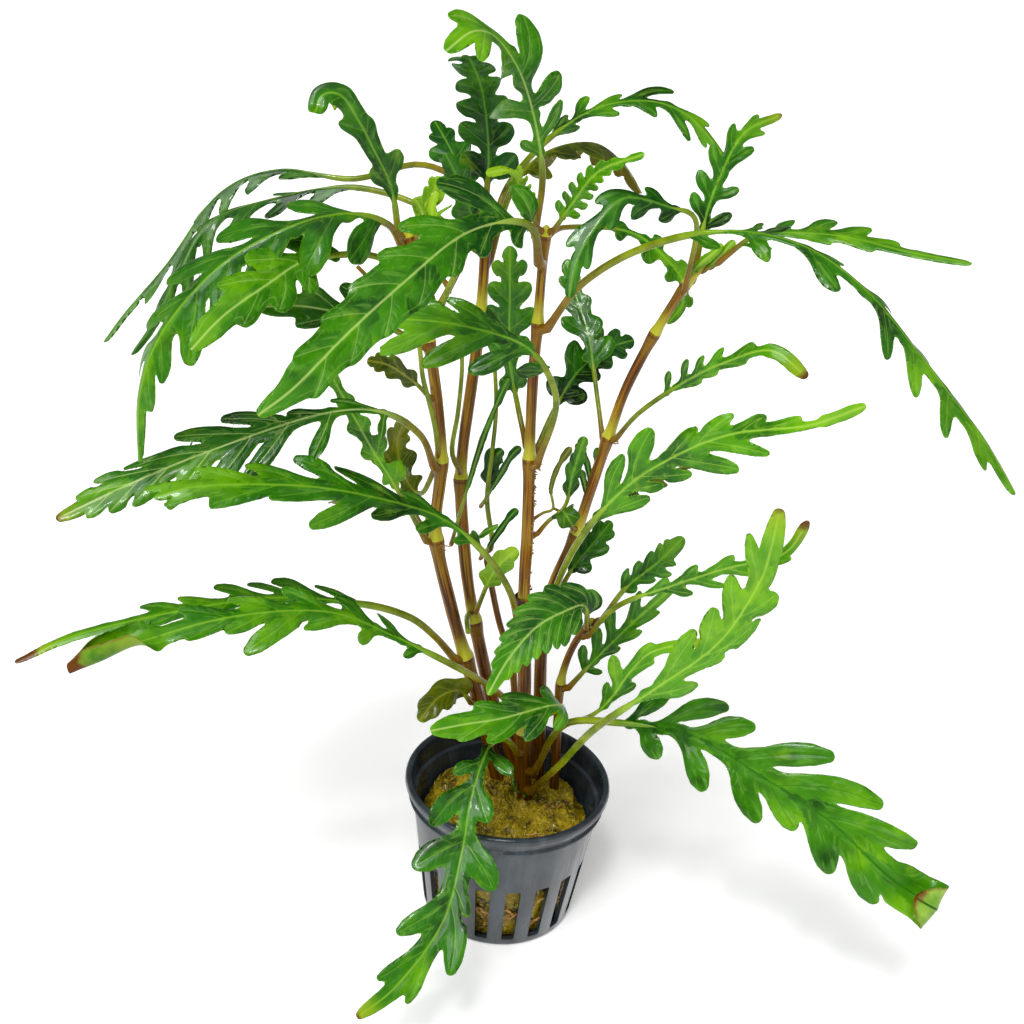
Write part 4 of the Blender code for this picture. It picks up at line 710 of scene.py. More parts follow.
class Outline:
    """A leaf blade laid flat: s runs along the midrib and t to the left of it."""

    def __init__(self, leaf, look, length, chance):
        self.start = leaf.blade * length
        self.length = length
        self.look = look
        self.margin = look.margin
        self.phase = chance.uniform(0, PHASES, 8)
        sides = ((1, look.left, leaf.left), (-1, look.right, leaf.right))
        self.paths, self.fills, self.lengths = [], [], []
        for side, listed, lengths in sides:
            for root, tip, across, width in listed or generated_lobes(leaf, lengths, length, chance):
                share = blade_share(root, self.start, length)
                shift = midrib_shift(look, share)
                tip_shift = shift if listed is None else 0
                path = lobe_path(root, tip, side * across + tip_shift, shift)
                self.add(path, width, ease(share, 0.1, 0.55))
        end_length, end_width = look.end or (0.13 * length, 1.5 * leaf.web + 0.4)
        shift = midrib_shift(look, 1.0)
        self.add(np.column_stack([np.linspace(length - end_length, length, PATH_POINTS),
                                  np.full(PATH_POINTS, shift)]), end_width, 0.7)
        stops = np.linspace(self.start, length, 4 * PATH_POINTS)
        self.paths[-1] = np.column_stack([stops, midrib_shift(look, blade_share(stops, self.start, length))])
        web = look.web or (0.4 * leaf.web + 0.3, leaf.web, 0.62 * leaf.web)
        at = np.arange(self.start, length - 1.0, 0.8)
        share = blade_share(at, self.start, length)
        half = np.interp(share, [0, 0.12, 0.5, 0.85, 1], [0.15, web[0], web[1], web[2], 0.3])
        self.web = np.column_stack([at, midrib_shift(look, share)]), half

    def add(self, path, width, outer):
        self.paths.append(path)
        self.fills.append(lobe_circles(path, width, outer))
        self.lengths.append(np.linalg.norm(np.diff(path, axis=0), axis=1).sum())

    def ripple(self, s, t):
        a, b, c, d = self.phase[:4]
        s, t = s / RIPPLE_SIZE, t / RIPPLE_SIZE
        return (np.sin(s + 0.6 * t + a) * np.sin(t - 0.3 * s + b)
                + 0.6 * np.sin(2.3 * s - 1.7 * t + c) * np.sin(1.9 * t + 1.1 * s + d))

    def fields(self, s, t):
        return np.array([circle_field(s, t, *fill) for fill in self.fills])

    def edge(self, s, t):
        """Below zero inside the blade, in millimetres from its margin."""
        s = s + self.margin * self.ripple(s, t)
        t = t + self.margin * self.ripple(t + 5, s)
        web = circle_field(s, t, *self.web)
        lobes = self.fields(s, t)
        order = np.sort(lobes, axis=0)
        nearest, next_one = order[0], order[1] if len(order) > 1 else 1e3
        lobe = np.maximum(nearest, (nearest - next_one + self.look.slit) / 2)
        return blend_min(web, lobe, LOBE_BLEND)

    def veins(self, s, t):
        """For each point its nearest lobe vein, the distance from it with a side, how far along it is, and
        the plain distance."""
        points = np.column_stack([s, t])
        owner = np.zeros(len(s), int)
        near, best = np.full(len(s), 1e9), np.zeros(len(s))
        across, forth = np.zeros(len(s)), np.zeros(len(s))
        for k, path in enumerate(self.paths):
            run = 0.0
            weight = RIB_WEIGHT if k == len(self.paths) - 1 else 1.0
            for a, b in zip(path[:-1], path[1:]):
                size = np.linalg.norm(b - a)
                way = (b - a) / size
                offset = points - a
                foot = np.clip(offset @ way, 0, size)
                gap = np.linalg.norm(offset - foot[:, None] * way, axis=1)
                nearer = gap * weight < near
                near[nearer] = (gap * weight)[nearer]
                side = np.sign(offset[:, 0] * way[1] - offset[:, 1] * way[0])
                owner[nearer] = k
                best[nearer] = gap[nearer]
                across[nearer] = (gap * side)[nearer]
                forth[nearer] = (run + foot)[nearer]
                run += size
        return owner, across, forth, best


def trace(outline, cell):
    """Triangles that fill the outline, with their corners, cut along its edge."""
    low = min(min(p[:, 1].min() for p in outline.paths) - 4.0, -3.0)
    high = max(max(p[:, 1].max() for p in outline.paths) + 4.0, 3.0)
    s_axis = np.arange(outline.start - 3, outline.length + 2.0, cell)
    t_axis = np.arange(low, high, cell)
    s, t = np.meshgrid(s_axis, t_axis, indexing="ij")
    shape = s.shape
    field = outline.edge(s.ravel(), t.ravel()).reshape(shape)
    slope_s, slope_t = np.gradient(field, cell)
    slope = slope_s ** 2 + slope_t ** 2
    near = (np.abs(field) < SNAP_SHARE * cell) & (slope > 0.2)
    s = np.where(near, s - field * slope_s / np.maximum(slope, 0.2), s).ravel()
    t = np.where(near, t - field * slope_t / np.maximum(slope, 0.2), t).ravel()
    field = np.where(near, -1e-6, field).ravel()
    index = np.arange(s.size).reshape(shape)
    a, b, c, d = index[:-1, :-1], index[1:, :-1], index[1:, 1:], index[:-1, 1:]
    triangles = np.concatenate([np.stack(corners, -1).reshape(-1, 3) for corners in ((a, b, c), (a, c, d))])
    inside = field[triangles] < 0
    count = inside.sum(axis=1)
    rows = [triangles[count == 3]]

    def cut(first, second):
        """Marks the crossing between two corners with a code that is later given a place."""
        low_end, high_end = np.minimum(first, second), np.maximum(first, second)
        return -(low_end * s.size + high_end) - 1

    one = triangles[count == 1]
    turn = np.argmax(inside[count == 1], axis=1)
    row = np.arange(len(one))
    p, q, r = (one[row, (turn + k) % 3] for k in range(3))
    rows.append(np.column_stack([p, cut(p, q), cut(p, r)]))
    two = triangles[count == 2]
    turn = np.argmin(inside[count == 2], axis=1)
    row = np.arange(len(two))
    out, p, q = (two[row, (turn + k) % 3] for k in range(3))
    rows.append(np.column_stack([p, q, cut(q, out)]))
    rows.append(np.column_stack([p, cut(q, out), cut(p, out)]))
    triangles = np.concatenate(rows)
    codes = np.unique(triangles[triangles < 0])
    first, second = np.divmod(-(codes + 1), s.size)
    share = field[first] / (field[first] - field[second])
    s = np.concatenate([s, s[first] + share * (s[second] - s[first])])
    t = np.concatenate([t, t[first] + share * (t[second] - t[first])])
    placed = np.where(triangles < 0, np.searchsorted(codes, triangles) + index.size, triangles)
    used, triangles = np.unique(placed, return_inverse=True)
    triangles = triangles.reshape(-1, 3)
    kept = (triangles[:, 0] != triangles[:, 1]) & (triangles[:, 1] != triangles[:, 2])
    kept &= triangles[:, 0] != triangles[:, 2]
    return s[used], t[used], triangles[kept]


def rim_edges(triangles, count):
    """The edges that belong to one triangle only, in its direction."""
    edges = np.concatenate([triangles[:, [0, 1]], triangles[:, [1, 2]], triangles[:, [2, 0]]])
    codes = edges[:, 0] * count + edges[:, 1]
    back = edges[:, 1] * count + edges[:, 0]
    return edges[~np.isin(codes, back)]


def vertex_normals(points, triangles):
    a, b, c = (points[triangles[:, k]] for k in range(3))
    faces = np.cross(b - a, c - a)
    normals = np.zeros_like(points)
    for k in range(3):
        np.add.at(normals, triangles[:, k], faces)
    return unit_rows(normals)


def blade_height(outline, look, leaf, s, t, gap, edge, chance):
    """How far the upper face stands above the flat blade: droop, waves, domes and sunken veins."""
    share = np.clip(blade_share(s, outline.start, outline.length), 0, 1)
    out = np.abs(t - midrib_shift(look, share))
    count = len(outline.paths)
    fields = outline.fields(s, t)
    weights = np.exp(-(fields - fields.min(axis=0)) / 0.8)
    weights /= weights.sum(axis=0)
    free = ease(out, 1.2, 6.0)
    bend = chance.uniform(-2.0, 1.2, count)
    twist = chance.uniform(-0.34, 0.34, count)
    wave = chance.uniform(0, PHASES, count)
    for amounts in (bend, twist):
        amounts[-1] *= 0.3
    tilt = np.zeros(len(s))
    for k in range(count):
        length = max(outline.lengths[k], 2.0)
        way = unit(outline.paths[k][-1] - outline.paths[k][0])
        offset = np.column_stack([s, t]) - outline.paths[k][0]
        rho = np.clip(offset @ way, 0, length)
        beside = offset[:, 0] * way[1] - offset[:, 1] * way[0]
        bow = min(length / 10, 1.2)
        curve = bend[k] * bow * (rho / length) ** 2
        turn = twist[k] * beside * ease(rho / length, 0.2, 0.9)
        swing = 0.14 * np.sin(rho / 2.6 + wave[k]) * np.clip(beside / 2, -1.2, 1.2)
        tilt += weights[k] * (curve + turn + swing)
    sag = leaf.droop * out / math.sin(math.radians(leaf.lean)) + look.sag * out
    gutter = 0.10 * out
    dome = 0.30 * (1 - np.exp(-gap / 0.9)) * (1 - np.exp(-np.maximum(edge, 0) / 0.7))
    margin = 0.16 * look.wave * np.sin(s / 3.2 + outline.phase[4]) * np.exp(-np.maximum(edge, 0) / 1.1)
    rib = 0.16 * np.exp(-(out / 0.6) ** 2)
    return (look.wave * tilt * free - sag + gutter + dome * ease(out, 0.2, 1.0) + margin * ease(out, 0.8,
            3.0) + rib)


def tube(points, radii, sides, flatten=1.0):
    """A closed round tube through the points, as vertices and faces."""
    points = np.asarray(points, float)
    tangents = unit_rows(np.gradient(points, axis=0))
    guide = np.array([0.0, 0.0, 1.0]) if abs(tangents[0][2]) < 0.9 else np.array([1.0, 0.0, 0.0])
    across = [unit(np.cross(guide, tangents[0]))]
    for way in tangents[1:]:
        across.append(unit(across[-1] - way * (across[-1] @ way)))
    across = np.array(across)
    up = np.cross(tangents, across)
    angles = around(sides)
    radii = np.broadcast_to(np.asarray(radii, float).reshape(len(points), -1), (len(points), sides))
    ring = (points[:, None, :] + across[:, None, :] * (np.cos(angles) * radii)[:, :, None]
            + up[:, None, :] * (np.sin(angles) * radii * flatten)[:, :, None])
    vertices = np.concatenate([ring.reshape(-1, 3), points[:1], points[-1:]])
    faces = ring_faces(len(points), sides)
    first, last, base = len(vertices) - 2, len(vertices) - 1, (len(points) - 1) * sides
    for j in range(sides):
        after = (j + 1) % sides
        faces.append((first, after, j))
        faces.append((last, base + j, base + after))
    return vertices, faces


def add_object(name, data):
    item = bpy.data.objects.new(name, data)
    bpy.context.scene.collection.objects.link(item)
    return item


def add_piece(name, vertices, faces, materials, slots=None, vectors=None):
    """A smooth mesh object from millimetres, with material indices and named vectors at its vertices."""
    mesh = bpy.data.meshes.new(name)
    mesh.from_pydata((np.asarray(vertices) * MM).tolist(), [], faces)
    mesh.update()
    for material in materials:
        mesh.materials.append(material)
    if slots is not None:
        mesh.polygons.foreach_set("material_index", np.asarray(slots, np.int32))
    for key, rows in (vectors or {}).items():
        layer = mesh.attributes.new(key, "FLOAT_VECTOR", "POINT")
        layer.data.foreach_set("vector", np.asarray(rows, np.float32).ravel())
    mesh.shade_smooth()
    return add_object(name, mesh)


def stand_for(item, slot_name, *nodes):
    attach(item, "root")
    if nodes:
        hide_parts(*nodes)


def rib_foot(leaf, foot, line, run):
    """Points from inside the stem to the petiole's foot."""
    if leaf.stem is None:
        way = unit(along(line, run, [2.0])[0] - foot)
        return [foot - way * back for back in (1.2, 0.8, 0.4)]
    centre, stem_r = stem_at(leaf.stem, leaf.height)
    reach = unit(foot - centre) * stem_r / NODE_SWELL
    steps = ((0, 2.0), (0.55, 1.5), (1.05, 0.7))
    return [centre + out * reach - np.array([0, 0, drop]) for out, drop in steps]


def rib_tube(leaf, look, outline, line, run):
    """The petiole and midrib, from inside the stem to just short of the tip."""
    length = outline.length
    root = rib_foot(leaf, along(line, run, [0.0])[0], line, run)
    end = length - RIB_STOP
    if look.curl is not None:
        end = min(end, look.curl[0] + 3)
    if look.wrap is not None:
        end = look.wrap[0] - 6
    stops = np.concatenate([np.linspace(0, outline.start, 16)[:-1], np.linspace(outline.start, end, 44)])
    points, _, left, normal = leaf_frames(leaf, look, line, run, stops)
    share = np.clip(blade_share(stops, outline.start, length), 0, 1)
    big = leaf.petiole * PETIOLE_SHARE
    in_blade = ease(share, 0.0, 0.16)
    radii = big * (1 - in_blade) + in_blade * (0.27 * big * (1 - share) ** 0.7 + 0.11)
    shift = midrib_shift(look, share) * ease(stops, 0.5 * outline.start, outline.start + 2)
    points = points + left * shift[:, None] - normal * (0.45 * radii * in_blade)[:, None]
    points = np.vstack([root, points])
    foot_swell = 1 + 0.38 * np.exp(-stops / 2.4)
    radii = np.concatenate([[big * 1.0, big * 1.25, big * 1.4], radii * foot_swell])
    vertices, faces = tube(points, radii, RIB_SIDES)
    stops = np.concatenate([[-3.0, -2.0, -1.0], stops])
    per_vertex = np.concatenate([np.repeat(stops, RIB_SIDES), stops[:1], stops[-1:]])
    return vertices, faces, per_vertex


def leaf_line(leaf):
    """The midrib's line, which a sprig lists whole and any other leaf starts beside its stem."""
    if leaf.stem is None:
        return smooth_line(leaf.route)
    return smooth_line([clear_start(leaf.stem, leaf.height, leaf.route[0], leaf.petiole), *leaf.route])


def wrap_sides(look, length, s, t, height):
    """How far beside and above the midrib the blade's points lie once its sides are rolled together."""
    if look.wrap is None:
        return t, height
    start, radius, offset = look.wrap
    amount = np.maximum(ease(s, start - 5, start + 3), 1e-3)
    radius = radius * (1 - 0.62 * ease(s, length - 9, length + 0.5)) / amount
    turn = (t + offset) / radius
    return radius * np.sin(turn) - offset, height * (1 - 0.7 * amount) + radius * (1 - np.cos(turn))


def leaf_piece(leaf, look, sheets, rib, triangles, vectors, materials):
    """The leaf's mesh: its upper and under faces, the rim between them, and its midrib's tube."""
    top, under = sheets
    vertices, rib_faces = rib
    count = len(top)
    rim = rim_edges(triangles, count)
    faces = np.concatenate([triangles, triangles[:, ::-1] + count]).tolist()
    faces += np.column_stack([rim[:, 1], rim[:, 0], rim[:, 0] + count, rim[:, 1] + count]).tolist()
    faces += [tuple(2 * count + v for v in face) for face in rib_faces]
    slots = [0] * len(triangles) + [1] * len(triangles) + [0] * len(rim) + [2] * len(rib_faces)
    name = leaf.name.replace("leaf_", "leafy_").replace("shoot_", "leafy_shoot_")
    item = add_piece(name, np.concatenate([top, under, vertices]), faces, materials, slots, vectors)
    slot_name = {"pale": "pale_leaf", "olive": "olive_leaf"}.get(look.finish, "leaf")
    stand_for(item, slot_name, *([] if leaf.stem is None else [leaf.name]))


def build_leaf(leaf, look, materials, seed):
    chance = np.random.default_rng(seed)
    line, run = leaf_line(leaf)
    length = run[-1] + look.more
    outline = Outline(leaf, look, length, chance)
    s, t, triangles = trace(outline, SMALL_CELL if length < SMALL_LEAF else CELL)
    edge = -outline.edge(s, t)
    owner, across, forth, gap = outline.veins(s, t)
    height = blade_height(outline, look, leaf, s, t, gap, edge, chance)
    points, _, left, normal = leaf_frames(leaf, look, line, run, s)
    beside, height = wrap_sides(look, length, s, t, height)
    points = points + left * beside[:, None] + normal * height[:, None]
    normals = vertex_normals(points, triangles)
    half = (SHEET_EDGE + (SHEET - SHEET_EDGE) * (1 - np.exp(-np.maximum(edge, 0) / 0.5)))[:, None]
    sheets = points + normals * half, points - normals * half
    *rib, rib_stops = rib_tube(leaf, look, outline, line, run)
    side = t - midrib_shift(look, np.clip(blade_share(s, outline.start, length), 0, 1))
    lobe_chance = chance.uniform(0, 1, len(outline.paths))[owner]
    leaf_chance = chance.uniform(0, 1)
    dry_from = NO_DRY_END if look.dry is None else look.dry
    blank = np.zeros(len(rib_stops))

    def vector(*columns):
        """A vector at each vertex, from what both faces of the blade have and what the midrib has."""
        return np.column_stack([np.concatenate([blade, blade, rib]) for blade, rib in columns])

    vectors = {
        "vein": vector((across, blank), (forth, blank), (gap, blank)),
        "place": vector((s / length, rib_stops / length), (edge, blank + 1),
                        (lobe_chance, blank + leaf_chance)),
        "stain": vector((s - dry_from, rib_stops - dry_from), (0 * s + leaf_chance, blank + leaf_chance),
                        (side, rib_stops - outline.start)),
    }
    leaf_piece(leaf, look, sheets, rib, triangles, vectors, materials)


class Number:
    """A value or colour in a material, which adds, subtracts and multiplies as a plain number does."""

    def __init__(self, graph, socket):
        self.graph = graph
        self.socket = socket

    def __add__(self, other):
        return self.graph.math("ADD", self, other)

    def __sub__(self, other):
        return self.graph.math("SUBTRACT", self, other)

    def __rsub__(self, other):
        return self.graph.math("SUBTRACT", other, self)

    def __mul__(self, other):
        return self.graph.math("MULTIPLY", self, other)

    def __abs__(self):
        return self.graph.math("ABSOLUTE", self)

    __radd__ = __add__
    __rmul__ = __mul__


class Graph:
    """A material's nodes, with one short call for each kind that the materials share."""

    def __init__(self, name):
        self.material = bpy.data.materials.new(name)
        self.material.use_nodes = True
        self.tree = self.material.node_tree
        self.shader = self.tree.nodes["Principled BSDF"]
        self.place = Number(self, self.tree.nodes.new("ShaderNodeTexCoord").outputs["Object"])

    def feed(self, socket, value):
        if isinstance(value, Number):
            self.tree.links.new(value.socket, socket)
        elif isinstance(value, tuple) and socket.type == "RGBA":
            socket.default_value = (*value, 1.0)
        else:
            socket.default_value = value

    def node(self, kind, inputs, output=0, **settings):
        """A new node with its settings and inputs, as one of its outputs."""
        made = self.tree.nodes.new(kind)
        for key, value in settings.items():
            setattr(made, key, value)
        for key, value in inputs.items():
            self.feed(made.inputs[key], value)
        return Number(self, made.outputs[output])

    def math(self, operation, a, b=0.0):
        return self.node("ShaderNodeMath", {0: a, 1: b}, operation=operation)

    def step(self, value, low, high, top=1.0):
        """0 at low, top at high, smooth between; low may be the larger."""
        ends = {"Value": value, "From Min": low, "From Max": high, "To Max": top}
        return self.node("ShaderNodeMapRange", ends, interpolation_type="SMOOTHSTEP")

    def mix(self, share, first, second):
        return self.node("ShaderNodeMix", {0: share, 6: first, 7: second}, 2, data_type="RGBA")

    def noise(self, scale, detail=2.0, roughness=0.5, place=None):
        return self.node("ShaderNodeTexNoise", {"Vector": place or self.place, "Scale": scale,
                                                "Detail": detail, "Roughness": roughness})

    def parts(self, name):
        """The three numbers of a named vector."""
        source = self.node("ShaderNodeAttribute", {}, "Vector", attribute_name=name)
        split = self.tree.nodes.new("ShaderNodeSeparateXYZ")
        self.feed(split.inputs[0], source)
        return tuple(Number(self, socket) for socket in split.outputs)

    def vector(self, x, y, z):
        return self.node("ShaderNodeCombineXYZ", {0: x, 1: y, 2: z})

    def bump(self, height, depth, after=None):
        """Relief of the given depth in millimetres."""
        inputs = {"Height": height, "Distance": depth * MM}
        if after is not None:
            inputs["Normal"] = after
        return self.node("ShaderNodeBump", inputs)

    def finish(self, **values):
        """Sets the shader's inputs, named with _ for a space, and gives the material."""
        for key, value in values.items():
            self.feed(self.shader.inputs[key.replace("_", " ")], value)
        return self.material


# How wide the veins look, how far apart their branches are, and where the quilting between them fades
VEIN_WIDTH = 0.20
RIB_WIDTH = 0.36
BRANCH_STEP = 1.35
BRANCH_REACH = 2.6
BRANCH_CLEAR = (1.0, 2.2)
QUILT_CLEAR = (1.8, 3.2)
DEAD_BROWN = tint(96, 58, 14)


def vein_marks(g, across, forth, plain, side, edge):
    """Masks of the lobe veins, of their fine branches, of the midrib, and of the swellings between."""
    gap = g.math("MAXIMUM", abs(across), plain - 0.3)
    out = abs(side)
    lobe = g.step(gap, VEIN_WIDTH, 0.05) * g.step(edge, 0.1, 0.9)
    ridge = g.math("PINGPONG", forth - gap + 2.2 * g.noise(210, 1), BRANCH_STEP)
    branch = g.step(ridge, VEIN_WIDTH, 0.02) * g.step(edge, 0.2, 0.8)
    branch = branch * g.step(gap, BRANCH_REACH, 0.4) * g.step(out, *BRANCH_CLEAR)
    rib = g.step(out, RIB_WIDTH, 0.16)
    quilt = g.step(gap, 0.0, 0.8) * g.step(gap, 2.4, 1.2) * g.step(ridge, 0.0, 0.9)
    return lobe, branch, rib, quilt * g.step(out, *QUILT_CLEAR)


def dead_end(g, colour, past, low, high):
    """Brown, with a ragged front, where the leaf has died back from its tip."""
    return g.mix(g.step(past + 5.0 * g.noise(300, 2), low, high), colour, DEAD_BROWN)


def leaf_top(name, colours):
    low, middle, high, vein, _, clear = colours
    g = Graph(name + "_upper")
    across, forth, plain = g.parts("vein")
    share, edge, chance = g.parts("place")
    past, leaf_chance, side = g.parts("stain")
    lobe, branch, rib, quilt = vein_marks(g, across, forth, plain, side, edge)
    tone = 1.5 * g.noise(75, 3, 0.55) + 0.35 * chance + 0.2 * leaf_chance + g.step(share, 0.45, 1.0, 0.28)
    colour = g.mix(g.step(tone, 0.70, 1.16), low, middle)
    colour = g.mix(g.step(tone, 1.10, 1.58, 0.9), colour, high)
    # Painted shade: darker near each lobe's foot beside the midrib, where the blade folds into shade
    shade_at_lobe_foot = g.step(forth, 5.0, 0.5, 0.35) * g.step(abs(side), 0.5, 1.6)
    colour = g.mix(shade_at_lobe_foot, colour, low)
    # Painted sheen: pale blue-green streaks drawn along the lobes, where a wet gloss would catch the light
    drawn = g.vector(0.9 * across, 0.16 * forth, chance)
    painted_sheen = g.step(g.noise(1.1, 2, 0.5, drawn), 0.53, 0.68, 0.26)
    colour = g.mix(painted_sheen, colour, g.mix(0.45, high, tint(132, 186, 92)))
    loop = g.step(abs(edge - 0.95), 0.17, 0.04) * g.step(g.noise(190, 1), 0.46, 0.6, 0.6 * clear)
    colour = g.mix(loop, colour, vein)
    colour = g.mix(g.step(edge, 0.26, 0.05, 0.45), colour, high)
    for mask, strength in ((branch, 0.22 * clear), (lobe, clear), (rib, 0.3 + 0.5 * clear)):
        colour = g.mix(strength * mask, colour, vein)
    speck = g.step(g.noise(260, 2, 0.6), 0.66, 0.74, 0.35)
    colour = g.mix(speck, colour, low)
    yellow = g.step(g.noise(95, 3, 0.6), 0.62, 0.74, 0.3)
    colour = g.mix(yellow, colour, tint(134, 178, 30))
    colour = g.mix(g.step(past, -7.0, 1.0, 0.6), colour, tint(156, 172, 30))
    colour = dead_end(g, colour, past, 1.6, 4.2)
    wet = g.step(g.noise(62, 2, 0.5), 0.47, 0.6)
    roughness = 0.46 - 0.27 * wet + 0.12 * g.noise(700, 2)
    fine = g.bump(g.noise(1500, 2, 0.6), 0.05)
    swells = g.bump(g.noise(330, 2, 0.5), 0.16, fine)
    return g.finish(Base_Color=colour, Roughness=roughness, Normal=g.bump(quilt, 0.12, swells), IOR=1.45,
                    Specular_IOR_Level=0.16, Coat_Weight=0.26, Coat_Roughness=0.09)


def leaf_under(name, colours):
    _, middle, _, vein, under, _ = colours
    g = Graph(name + "_under")
    across, forth, plain = g.parts("vein")
    _, edge, _ = g.parts("place")
    past, _, side = g.parts("stain")
    lobe, branch, rib, _ = vein_marks(g, across, forth, plain, side, edge)
    colour = g.mix(g.step(g.noise(110, 3, 0.6), 0.35, 0.68), under, middle)
    colour = g.mix(0.5 * branch, colour, under)
    colour = g.mix(g.math("MAXIMUM", 0.8 * lobe, rib), colour, vein)
    colour = dead_end(g, colour, past, 1.2, 3.8)
    burnt = g.step(edge, 0.8, 0.2) * g.step(past, -16.0, -9.0, 0.5)
    colour = g.mix(burnt, colour, tint(112, 62, 14))
    relief = g.bump(g.math("MAXIMUM", 0.6 * branch, lobe), 0.12)
    roughness = 0.3 + g.step(g.noise(300, 2), 0.3, 0.7, 0.25)
    return g.finish(Base_Color=colour, Roughness=roughness, Normal=relief, IOR=1.45, Specular_IOR_Level=0.18)


def leaf_rib(name, colours):
    """Petiole and midrib: brownish at the stem, then green, pale along the blade."""
    _, _, high, vein, _, clear = colours
    g = Graph(name + "_rib")
    share, _, chance = g.parts("place")
    past, _, into = g.parts("stain")
    streak = g.noise(160, 3, 0.6)
    bark = g.mix(streak, tint(96, 56, 4), tint(150, 112, 20))
    green = g.mix(g.step(streak, 0.35, 0.65), tint(98, 116, 12), tint(136, 152, 30))
    colour = g.mix(g.step(share, -0.02, 0.14 + 0.2 * chance), bark, green)
    colour = g.mix(g.step(into, -4.0, 8.0, 0.5 + 0.4 * clear), colour, g.mix(0.45, vein, high))
    colour = dead_end(g, colour, past, 1.2, 3.8)
    return g.finish(Base_Color=colour, Roughness=g.step(g.noise(220, 2), 0.3, 0.7, 0.5),
                    Normal=g.bump(g.noise(900, 2), 0.06), IOR=1.45,
                    Specular_IOR_Level=0.3, Coat_Weight=0.15, Coat_Roughness=0.08)


def build_leaves():
    materials = {}
    for name, colours in FINISHES.items():
        materials[name] = [leaf_top(name, colours), leaf_under(name, colours), leaf_rib(name, colours)]
    for k, leaf in enumerate(LEAVES):
        look = LOOKS.get(leaf.name, Look())
        build_leaf(leaf, look, materials[look.finish], SEED + k)
    for k, (leaf, finish) in enumerate(SPRIGS):
        build_leaf(leaf, Look(finish=finish, wave=0.5), materials[finish], SEED + len(LEAVES) + k)
    rib = materials["olive"][2]
    for name, (points, foot, tip) in TWIGS.items():
        line, run = smooth_line(points)
        stops = np.linspace(0, run[-1], 4 * len(points))
        share = stops / run[-1]
        radii = foot + (tip - foot) * share
        vertices, faces = tube(along(line, run, stops), radii, RIB_SIDES)
        shares = np.concatenate([np.repeat(share, RIB_SIDES), [0, 1]])
        blank = np.zeros(len(vertices))
        vectors = {"place": np.column_stack([shares, blank + 1, blank + 0.5]),
                   "stain": np.column_stack([blank - 500, blank + 0.5, blank - 20])}
        stand_for(add_piece(name, vertices, faces, [rib], None, vectors), "stem")


def stem_material():
    g = Graph("stem_skin")
    above, below, run = g.parts("joint")
    cos_part, sin_part, lift = g.parts("round")
    streak = g.noise(1.0, 3, 0.6, g.vector(2.6 * cos_part, 2.6 * sin_part, 0.035 * run))
    band = g.step(streak, 0.36, 0.62)
    bark = g.mix(band, tint(66, 34, 0), tint(150, 94, 10))
    golden = g.mix(band, tint(92, 58, 0), tint(182, 148, 26))
    young = g.mix(streak, tint(154, 158, 8), tint(224, 222, 78))
    bark = g.mix(g.step(g.noise(60, 2, 0.5), 0.40, 0.60) * g.step(lift, 0.1, 0.5, 0.6), bark, golden)
    faded = above + 8.0 * streak
    colour = g.mix(g.step(faded, 19.0, 6.0, 0.75), bark, golden)
    colour = g.mix(g.step(faded, 12.0, 4.6, 0.95), colour, young)
    dull = g.step(below, 9.0, 2.0, 0.6) * g.step(below, 0.2, 1.2)
    colour = g.mix(dull, colour, tint(132, 98, 18))
    colour = g.mix(g.step(below, 1.0, 0.2, 0.7), colour, tint(78, 44, 12))
    colour = g.mix(g.step(lift, 0.22, 0.02, 0.5), colour, tint(58, 32, 8))
    dirt = g.step(g.noise(420, 3, 0.7), 0.62, 0.72, 0.5)
    colour = g.mix(dirt, colour, tint(54, 28, 4))
    fine = g.bump(g.noise(700, 3, 0.6), 0.08)
    roughness = 0.22 + g.step(g.noise(180, 2), 0.3, 0.7, 0.26)
    return g.finish(Base_Color=colour, Roughness=roughness, IOR=1.45, Specular_IOR_Level=0.22,
                    Normal=g.bump(streak, 0.25, fine), Coat_Weight=0.14, Coat_Roughness=0.07)


